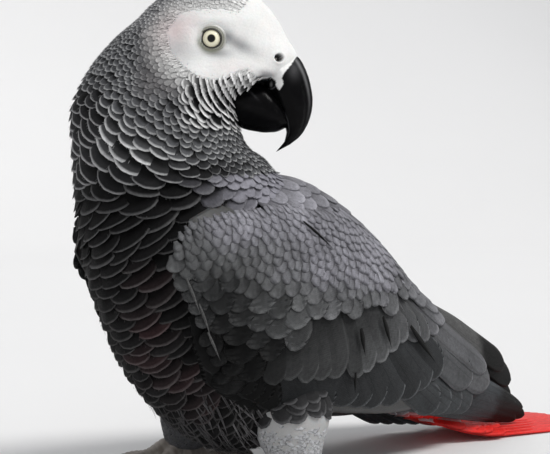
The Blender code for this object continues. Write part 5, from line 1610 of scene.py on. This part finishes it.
EYE_MAT, LID_MAT = eye_material(), lid_material()
IRIS_R, PUPIL_R, LID_R = 3.15, 1.42, 3.62
for side, sign in (("right", 1), ("left", -1)):
    mid = in_head(EYE_AT[0], EYE_AT[1], sign * EYE_AT[2])
    out, fwd = CHEEK * sign, FACE
    rows_n, cols = 46, 96
    s = np.linspace(0, 1, rows_n)
    ang = np.where(s < 0.75, s / 0.75 * 42.0, 42 + (s - 0.75) / 0.25 * 130.0)   # from the middle of the pupil backwards
    r = EYE_R * np.sin(np.radians(ang))
    d = EYE_R * np.cos(np.radians(ang)) + 0.42 * np.clip(1 - (r / 2.9) ** 2, 0, 1) ** 0.8 * (ang < 60)
    q = np.linspace(0, 2 * math.pi, cols, endpoint=False)
    p = mid + fwd * (r[1:, None] * np.cos(q))[..., None] + UP * (r[1:, None] * np.sin(q))[..., None] + out * np.repeat(d[1:, None], cols, 1)[..., None]
    rr = np.repeat(r[1:, None], cols, 1)
    streak = 0.5 * np.sin(q * 37 + 2 * np.sin(q * 5))[None] + 0.5 * np.sin(q * 61 + 3 * np.sin(q * 3))[None] + 0 * rr
    iris = mix(np.broadcast_to(np.array([0.93, 0.89, 0.70]), p.shape), (0.62, 0.56, 0.34), np.clip(0.10 + 0.12 * streak + 0.22 * smooth(2.3, 3.1, rr), 0, 1))
    iris = mix(iris, (0.55, 0.48, 0.28), smooth(1.9, 1.42, rr) * 0.4)
    tone = mix(iris, (0.004, 0.004, 0.004), smooth(PUPIL_R + 0.10, PUPIL_R - 0.06, rr))
    tone = mix(tone, (0.03, 0.028, 0.025), smooth(IRIS_R - 0.12, IRIS_R + 0.06, rr))
    v, fcs = closed_tube(p, start=mid + out * d[0], end=mid - out * EYE_R)
    tone = np.concatenate([tone.reshape(-1, 3), [[0.004] * 3], [[0.03] * 3]])
    eye = mesh_object(f"eyeball_{side}", v, fcs, EYE_MAT, tone=tone)
    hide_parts(f"eye_{side}")
    # lid margin: a dark beaded rim with two finer folds outside it, following the ball
    rings = []
    prof_n = 40
    pr = np.linspace(0, 1, prof_n)
    radial = 3.02 + 2.3 * pr
    lift = (EYE_R**2 - np.minimum(radial, 5.3) ** 2) ** 0.5
    base = EYE_R * math.cos(math.asin(3.1 / EYE_R))
    over = 0.34 * np.exp(-((radial - 3.42) / 0.26) ** 2) + 0.20 * np.exp(-((radial - 4.05) / 0.18) ** 2) + 0.13 * np.exp(-((radial - 4.6) / 0.18) ** 2)
    level = np.interp(radial, [3.0, 3.3, 4.0, 4.9, 5.32], [lift[0] - 0.3, base + 0.12, base + 0.05, base - 0.25, base - 0.9])
    qs = np.linspace(0, 2 * math.pi, 160, endpoint=False)
    bead = 0.05 * np.sin(qs * 46)[:, None] * np.exp(-((radial - 3.42) / 0.22) ** 2)[None]
    oval = 1 + 0.02 * np.cos(2 * qs)[:, None] + 0.05 * np.exp(-((qs - 2.45) / 0.22) ** 2)[:, None] + 0.03 * np.exp(-((qs - 5.6) / 0.25) ** 2)[:, None]
    hgt = (level + over)[None] + bead
    top = mid + fwd * (radial[None] * oval * np.cos(qs)[:, None])[..., None] + UP * (radial[None] * oval * np.sin(qs)[:, None])[..., None] + out * hgt[..., None]
    low_ = top[:, ::-1] - out * 0.5
    ring = np.concatenate([top, low_], 1)
    n1, n2 = ring.shape[:2]
    i = np.arange(n1)[:, None] * n2
    i2 = (np.arange(n1)[:, None] + 1) % n1 * n2
    j = np.arange(n2)[None]
    j2 = (j + 1) % n2
    quads = np.stack([i + j, i2 + j, i2 + j2, i + j2], -1).reshape(-1, 4)
    v = ring.reshape(-1, 3)
    fcs = faces_outward(v, [quads])
    rad_v = np.concatenate([np.repeat(radial[None], n1, 0), np.repeat(radial[None, ::-1], n1, 0)], 1).ravel()
    below = smooth(1.0, -2.5, (v - mid) @ UP)
    skin_like = face_colour(v)
    tone = mix(np.broadcast_to(np.array([0.020, 0.019, 0.017]), v.shape), (0.30, 0.30, 0.25), smooth(3.62, 4.0, rad_v))
    tone = mix(tone, (0.12, 0.12, 0.095), np.exp(-((rad_v - 4.32) / 0.12) ** 2) * 0.6)
    tone = mix(tone, skin_like, smooth(4.2, 5.2, rad_v))
    lids = mesh_object(f"eyelids_{side}", v, fcs, LID_MAT, tone=tone)

# ------------------------------------------------------------------ bill
UPPER = np.array([
    (0.00, 25.0, 3.6, 13.0, -5.0, 8.4), (0.12, 30.6, 0.4, 16.0, -8.0, 8.9), (0.24, 33.3, -3.8, 18.6, -11.0, 8.8),
    (0.38, 35.2, -9.2, 20.6, -14.6, 8.2), (0.52, 36.2, -15.2, 22.6, -18.6, 7.2), (0.66, 35.7, -20.6, 24.4, -22.4, 5.8),
    (0.78, 34.1, -25.2, 26.0, -25.6, 4.4), (0.88, 31.3, -29.4, 26.5, -28.2, 3.0), (0.95, 27.9, -32.1, 25.8, -31.2, 1.6),
])
UPPER_TIP = (22.6, -35.1)
LOWER = np.array([
    (0.00, 6.5, -10.0, 3.5, -22.0, 7.0), (0.28, 13.0, -8.6, 9.6, -26.0, 8.6), (0.52, 18.5, -9.5, 14.4, -27.3, 8.9),
    (0.75, 23.0, -13.5, 19.6, -27.8, 8.0), (0.90, 26.4, -19.0, 24.0, -27.2, 6.2), (0.97, 27.6, -22.4, 26.4, -26.0, 4.2),
])
LOWER_TIP = (28.0, -24.3)


def beak(table, steps, tip, n, ridge, belly, relief):
    t = np.linspace(0, table[-1, 0], steps)
    of, ou, inf, inu, w = spline(table[:, 0], table[:, 1:], t).T
    q = 2 * math.pi * np.arange(n) / n
    c, s = np.cos(q)[None], np.sin(q)[None]
    r = relief(t[:, None] / table[-1, 0], q[None])
    mid = np.stack([(of + inf) / 2, (ou + inu) / 2], -1)[:, None]
    half = np.stack([(of - inf) / 2, (ou - inu) / 2], -1)[:, None]
    size = np.linalg.norm(half, axis=-1)
    across = (w[:, None] + r) * c * (1 - ridge * np.maximum(s, 0) - belly * np.maximum(-s, 0))
    fu = mid + half * (s * (1 + r / size))[..., None]
    return closed_tube(in_head(fu[..., 0], fu[..., 1], across), end=in_head(*tip)), (np.repeat(t[:, None] / table[-1, 0], n, 1), np.repeat(q[None], steps, 0))


def upper_relief(t, q):
    s, c = np.sin(q), np.cos(q)
    culmen = 0.35 * np.exp(-((s - 1) / 0.10) ** 2) * (1 - 0.5 * t)
    groove = -0.20 * np.exp(-((s - 0.66) / 0.11) ** 2) * smooth(0.0, 0.2, t) * (1 - smooth(0.7, 1.0, t))
    growth = 0.014 * np.sin(t * 95 + 3 * np.sin(q * 2)) * smooth(0.05, 0.25, t) + 0.014 * np.sin(t * 41 + q * 3)
    edge = 0.24 * np.exp(-((s + 0.55) / 0.14) ** 2) * smooth(0.1, 0.3, t) * (1 - smooth(0.8, 0.97, t))
    return culmen + groove + growth + edge


def lower_relief(t, q):
    s = np.sin(q)
    growth = 0.012 * np.sin(t * 60 + 2 * np.sin(q * 2)) + 0.016 * np.sin(t * 19 + q * 4)
    return growth + 0.15 * np.exp(-((s + 0.2) / 0.2) ** 2) * smooth(0.1, 0.4, t) * (1 - smooth(0.8, 1, t))


def bill_material():
    m, t, b = nodes_for("bill_horn")
    tone = attribute(t, "tone")
    xyz = object_coords(t)
    streak = noise(t, xyz, 260.0, 5.0, 0.6)
    fine = noise(t, xyz, 2400.0, 3.0)
    light = maths(t, "ADD", maths(t, "MULTIPLY", streak, 0.6), 0.7)
    grey = t.nodes.new("ShaderNodeCombineColor")
    for i in range(3):
        t.links.new(light, grey.inputs[i])
    t.links.new(blend(t, 1.0, tone.outputs["Color"], grey.outputs[0], "MULTIPLY"), b.inputs["Base Color"])
    bright = t.nodes.new("ShaderNodeRGBToBW")
    t.links.new(tone.outputs["Color"], bright.inputs[0])
    gloss = maths(t, "ADD", ramp(t, bright.outputs[0], 0.01, 0.14, 0.16, 0.55), maths(t, "MULTIPLY", streak, 0.12))
    t.links.new(gloss, b.inputs["Roughness"])
    b.inputs["Specular IOR Level"].default_value = 0.06
    height = maths(t, "ADD", maths(t, "MULTIPLY", fine, 0.35), streak)
    bump(t, b, height, 0.00008, 0.45)
    return m


BILL_MAT = bill_material()
(v, fcs), (tt_, qq_) = beak(UPPER, 200, UPPER_TIP, 140, 0.34, 0.0, upper_relief)
f, u, c = head_coords(v)
along, turned = np.concatenate([tt_.ravel(), [0, 1]]), np.concatenate([np.sin(qq_).ravel(), [0, 0]])
tone = face_colour(v)
# painted highlight: a paler grey band just under the ridge of the upper bill, strongest near its base
rim = np.exp(-((turned - 0.84) / 0.055) ** 2) * np.interp(along, [0, 0.12, 0.3, 0.55, 0.8], [0.5, 1, 0.8, 0.35, 0])
tone = mix(tone, (0.17, 0.17, 0.175), rim * smooth(0.3, -0.4, horn_distance(f, u)))
# painted highlight along the cutting edge of the hook
inner = np.exp(-((turned + 0.62) / 0.06) ** 2) * smooth(0.62, 0.72, along) * (1 - smooth(0.9, 1.0, along))
tone = mix(tone, (0.055, 0.055, 0.058), inner)
upper = mesh_object("upper_bill_horn", v, fcs, BILL_MAT, tone=tone)
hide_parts("bill_upper")
(v, fcs), (tt_, qq_) = beak(LOWER, 100, LOWER_TIP, 96, 0.0, 0.22, lower_relief)
f, u, c = head_coords(v)
tone = np.broadcast_to(np.array([0.0028, 0.0028, 0.0031]), v.shape)
# painted highlight on the lower bill near the gape
lower_bill_highlight = np.exp(-(((f - 14.5) + (u + 14.2)) / 0.5) ** 2 - (((f - 14.5) - (u + 14.2)) / 3.0) ** 2)
tone = mix(tone, (0.035, 0.035, 0.037), lower_bill_highlight * 0.8)
lower = mesh_object("lower_bill_horn", v, fcs, BILL_MAT, tone=tone)
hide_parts("bill_lower")

# ------------------------------------------------------------------ feet and claws
TOES = {"toe_2": (-12.0, 23.0, 4.1, 8.2), "toe_3": (24.0, 34.0, 4.5, 9.4), "toe_4": (158.0, 31.0, 4.2, 7.4), "toe_1": (196.0, 18.0, 3.7, 6.2)}
CLAW_LENGTH = {"toe_2": 11.0, "toe_3": 12.5, "toe_4": 11.5, "toe_1": 9.0}


def leg_material():
    m, t, b = nodes_for("leg_scales")
    tone = attribute(t, "tone")
    xyz = object_coords(t)
    fine = noise(t, xyz, 1900.0, 4.0, 0.6)
    grey = t.nodes.new("ShaderNodeCombineColor")
    light = maths(t, "ADD", maths(t, "MULTIPLY", fine, 0.6), 0.7)
    for i in range(3):
        t.links.new(light, grey.inputs[i])
    t.links.new(blend(t, 1.0, tone.outputs["Color"], grey.outputs[0], "MULTIPLY"), b.inputs["Base Color"])
    t.links.new(ramp(t, fine, 0.3, 0.7, 0.5, 0.75), b.inputs["Roughness"])
    bump(t, b, fine, 0.00012, 0.6)
    return m


def claw_material():
    m, t, b = nodes_for("claw_horn")
    xyz = object_coords(t)
    streak = noise(t, xyz, 600.0, 4.0, 0.6)
    t.links.new(blend(t, streak, (0.012, 0.011, 0.010), (0.06, 0.055, 0.05)), b.inputs["Base Color"])
    t.links.new(ramp(t, streak, 0.3, 0.7, 0.22, 0.42), b.inputs["Roughness"])
    bump(t, b, streak, 0.00008, 0.5)
    return m


LEG_MAT, CLAW_MAT = leg_material(), claw_material()


def scutes(t, q, count):
    """Broad rings over the top of a toe, small round scales on its sides and underside."""
    top = smooth(0.1, 0.55, np.sin(q))
    ring = np.abs(np.sin(np.pi * t * count)) ** 0.55 - 0.75
    small = np.abs(np.sin(np.pi * t * count * 1.9 + np.pi * 0.5 * (np.floor(q * 3.2) % 2))) ** 0.6 * np.abs(np.sin(q * 10)) ** 0.6 - 0.4
    return top * 0.26 * ring + (1 - top) * 0.2 * small


for side in ("left", "right"):
    fx, fy = FEET[side]
    out = 1 if side == "left" else -1
    foot = np.array([fx, fy, 0.0])
    all_v, all_q, all_t, tones, base = [], [], [], [], 0
    shank = np.array([(fx, fy, 0.0), (fx, fy, 1.6), (fx, fy, 5.0), (fx, fy, 9.0), (fx, fy, 13.0), (fx, fy + 0.5, TARSUS)])
    girth = np.array([5.0, 6.6, 7.4, 6.6, 5.2, 4.4])
    keys = np.array([0, 0.062, 0.19, 0.35, 0.5, 1.0])
    x = np.linspace(0, 1, 90)
    rings = round_path(spline(keys, shank, x), spline(keys, girth, x) - 0.15, 64, flat=0.0,
                       relief=lambda t, q: 0.24 * (np.abs(np.sin(np.pi * t * 16 + np.pi * 0.5 * (np.floor(q * 3.5) % 2))) ** 0.6 * np.abs(np.sin(q * 7)) ** 0.5 - 0.5) * smooth(0.04, 0.12, t))
    shells = [closed_tube(rings)]
    for name, (bearing, length, gr, root_height) in TOES.items():
        a = math.radians(bearing)
        way = np.array([out * math.sin(a), -math.cos(a), 0.0])
        t = np.linspace(0, 1, 120)
        r = gr * (1 - 0.28 * t) * (1 + 0.08 * np.cos(2 * math.pi * (t * 2.5 - 0.3)))
        zc = r * 0.86 + (root_height - gr * 0.86) * np.maximum(0.0, 1 - t / 0.55) ** 1.5
        path = foot + way * (3.0 + (length + 2.0) * t)[:, None] + UP * zc[:, None]
        count = max(int(length / 1.75), 8)
        close = smooth(1.0, 0.94, t)
        rings = round_path(path, r * (0.35 + 0.65 * close ** 0.5) - 0.1, 56, flat=0.0, relief=lambda tt, q, count=count: scutes(tt, q, count) * smooth(1.0, 0.95, tt))
        end = path[-1] + way * 1.4
        shells.append(closed_tube(rings, end=end))
        size = CLAW_LENGTH[name]
        last = path[-1]
        cp = [last - way * 1.0 + UP * 0.7] + [last + way * size * (k * 0.98) + UP * (0.9 + 1.5 * math.sin(math.pi * k) - 2.6 * k * k) for k in (0.25, 0.5, 0.75)]
        tip = last + way * size * 0.98 - UP * 2.7
        tip[2] = max(tip[2], 0.25)
        cp.append(tip)
        cx = np.linspace(0, 1, 40)
        cpath = spline(np.array([0, 0.27, 0.52, 0.77, 1.0]), np.array(cp), cx)
        crad = np.interp(cx, [0, 0.27, 0.52, 0.77, 1.0], [2.2, 1.9, 1.4, 0.8, 0.12])
        cr = round_path(cpath, crad, 28, flat=0.02)
        v, fcs = closed_tube(cr, end=tip)
        claw = mesh_object(f"claw_horn_{name[-1]}_{side}", v, fcs, CLAW_MAT)
        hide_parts(f"claw_{name[-1]}_{side}")
    for v, fcs in shells:
        all_v.append(v)
        for fc in fcs:
            (all_q if fc.shape[1] == 4 else all_t).append(fc + base)
        base += len(v)
    v = np.concatenate(all_v)
    tone = mix(np.broadcast_to(np.array([0.155, 0.135, 0.115]), v.shape), (0.30, 0.275, 0.25), 0.5 + 0.5 * wobble(v, 2.2, 4))
    obj = mesh_object(f"foot_skin_{side}", v, [np.concatenate(all_q), np.concatenate(all_t)], LEG_MAT, tone=tone)
    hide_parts(f"tarsus_{side}", *[f"{nm}_{side}" for nm in TOES])

# ------------------------------------------------------------------ floor, light and camera
def plain_material(name, rgb):
    m, t, b = nodes_for(name)
    xyz = object_coords(t)
    n1 = noise(t, xyz, 3.0, 2.0)
    t.links.new(blend(t, ramp(t, n1, 0.3, 0.7, 0.0, 0.25), rgb, tuple(v * 0.97 for v in rgb)), b.inputs["Base Color"])
    b.inputs["Roughness"].default_value = 0.85
    b.inputs["Specular IOR Level"].default_value = 0.2
    return m


centre_xy = (np.array(CAD_BOX[0]) + np.array(CAD_BOX[1])) / 2
bend_ = np.linspace(0.06, math.pi / 2, 24)
rr = np.concatenate([[0.02], np.linspace(0.2, 1.3, 10), 1.3 + 1.0 * np.sin(bend_), [2.3]])
zz = np.concatenate([np.zeros(11), 1.0 * (1 - np.cos(bend_)), [1.25]])
qs = np.linspace(0, 2 * math.pi, 128, endpoint=False)
bowl = np.stack([rr[:, None] * np.cos(qs) + centre_xy[0], rr[:, None] * np.sin(qs) + centre_xy[1], np.repeat(zz[:, None], 128, 1)], -1)
me = bpy.data.meshes.new("studio_floor")
verts = [tuple(v) for v in bowl.reshape(-1, 3)] + [(float(centre_xy[0]), float(centre_xy[1]), 0.0)]
faces = [tuple(int(a) for a in f) for f in grid_faces(len(rr), 128)] + [tuple(int(a) for a in f) for f in fan_faces(0, len(verts) - 1, 128, True)]
me.from_pydata(verts, [], faces)
me.shade_smooth()
floor = bpy.data.objects.new("studio_floor", me)
bpy.context.scene.collection.objects.link(floor)
me.materials.append(plain_material("studio_paper", (0.76, 0.76, 0.765)))

TARGET = np.array([0.0, 20.0, 98.0]) + SHIFT
AZIMUTH, ELEVATION, DISTANCE, FOCAL = math.radians(50.0), math.radians(3.0), 560.0, 1400.0
BACK = np.array([math.sin(AZIMUTH) * math.cos(ELEVATION), -math.cos(AZIMUTH) * math.cos(ELEVATION), math.sin(ELEVATION)])
cam_data = bpy.data.cameras.new("camera")
cam_data.sensor_width = 36.0
cam_data.lens = 36.0 * FOCAL / 550.0
cam_data.clip_start, cam_data.clip_end = 0.01, 20.0
cam = bpy.data.objects.new("camera", cam_data)
cam.location = Vector((TARGET + BACK * DISTANCE) / 1000)
cam.rotation_mode = "QUATERNION"
cam.rotation_quaternion = Vector(BACK).to_track_quat("Z", "Y")
bpy.context.scene.collection.objects.link(cam)
bpy.context.scene.camera = cam


def sun_light(name, azimuth, elevation, strength, spread, colour=(1, 1, 1)):
    data = bpy.data.lights.new(name, "SUN")
    data.energy, data.angle, data.color = strength, math.radians(spread), colour
    o = bpy.data.objects.new(name, data)
    a, e = math.radians(azimuth), math.radians(elevation)
    o.rotation_mode = "QUATERNION"
    o.rotation_quaternion = Vector((math.sin(a) * math.cos(e), -math.cos(a) * math.cos(e), math.sin(e))).to_track_quat("Z", "Y")
    bpy.context.scene.collection.objects.link(o)
    return o


sun_light("key", 122, 50, 2.2, 22, (1.0, 0.99, 0.97))
sun_light("fill", 40, 42, 0.35, 50, (0.97, 0.98, 1.0))
sun_light("rim", 225, 45, 0.5, 40)
world_ = bpy.data.worlds.new("studio_world")
world_.use_nodes = True
world_.node_tree.nodes["Background"].inputs[0].default_value = (0.93, 0.94, 0.96, 1)
world_.node_tree.nodes["Background"].inputs[1].default_value = 0.42
bpy.context.scene.world = world_
bpy.context.scene.view_settings.view_transform = "Standard"
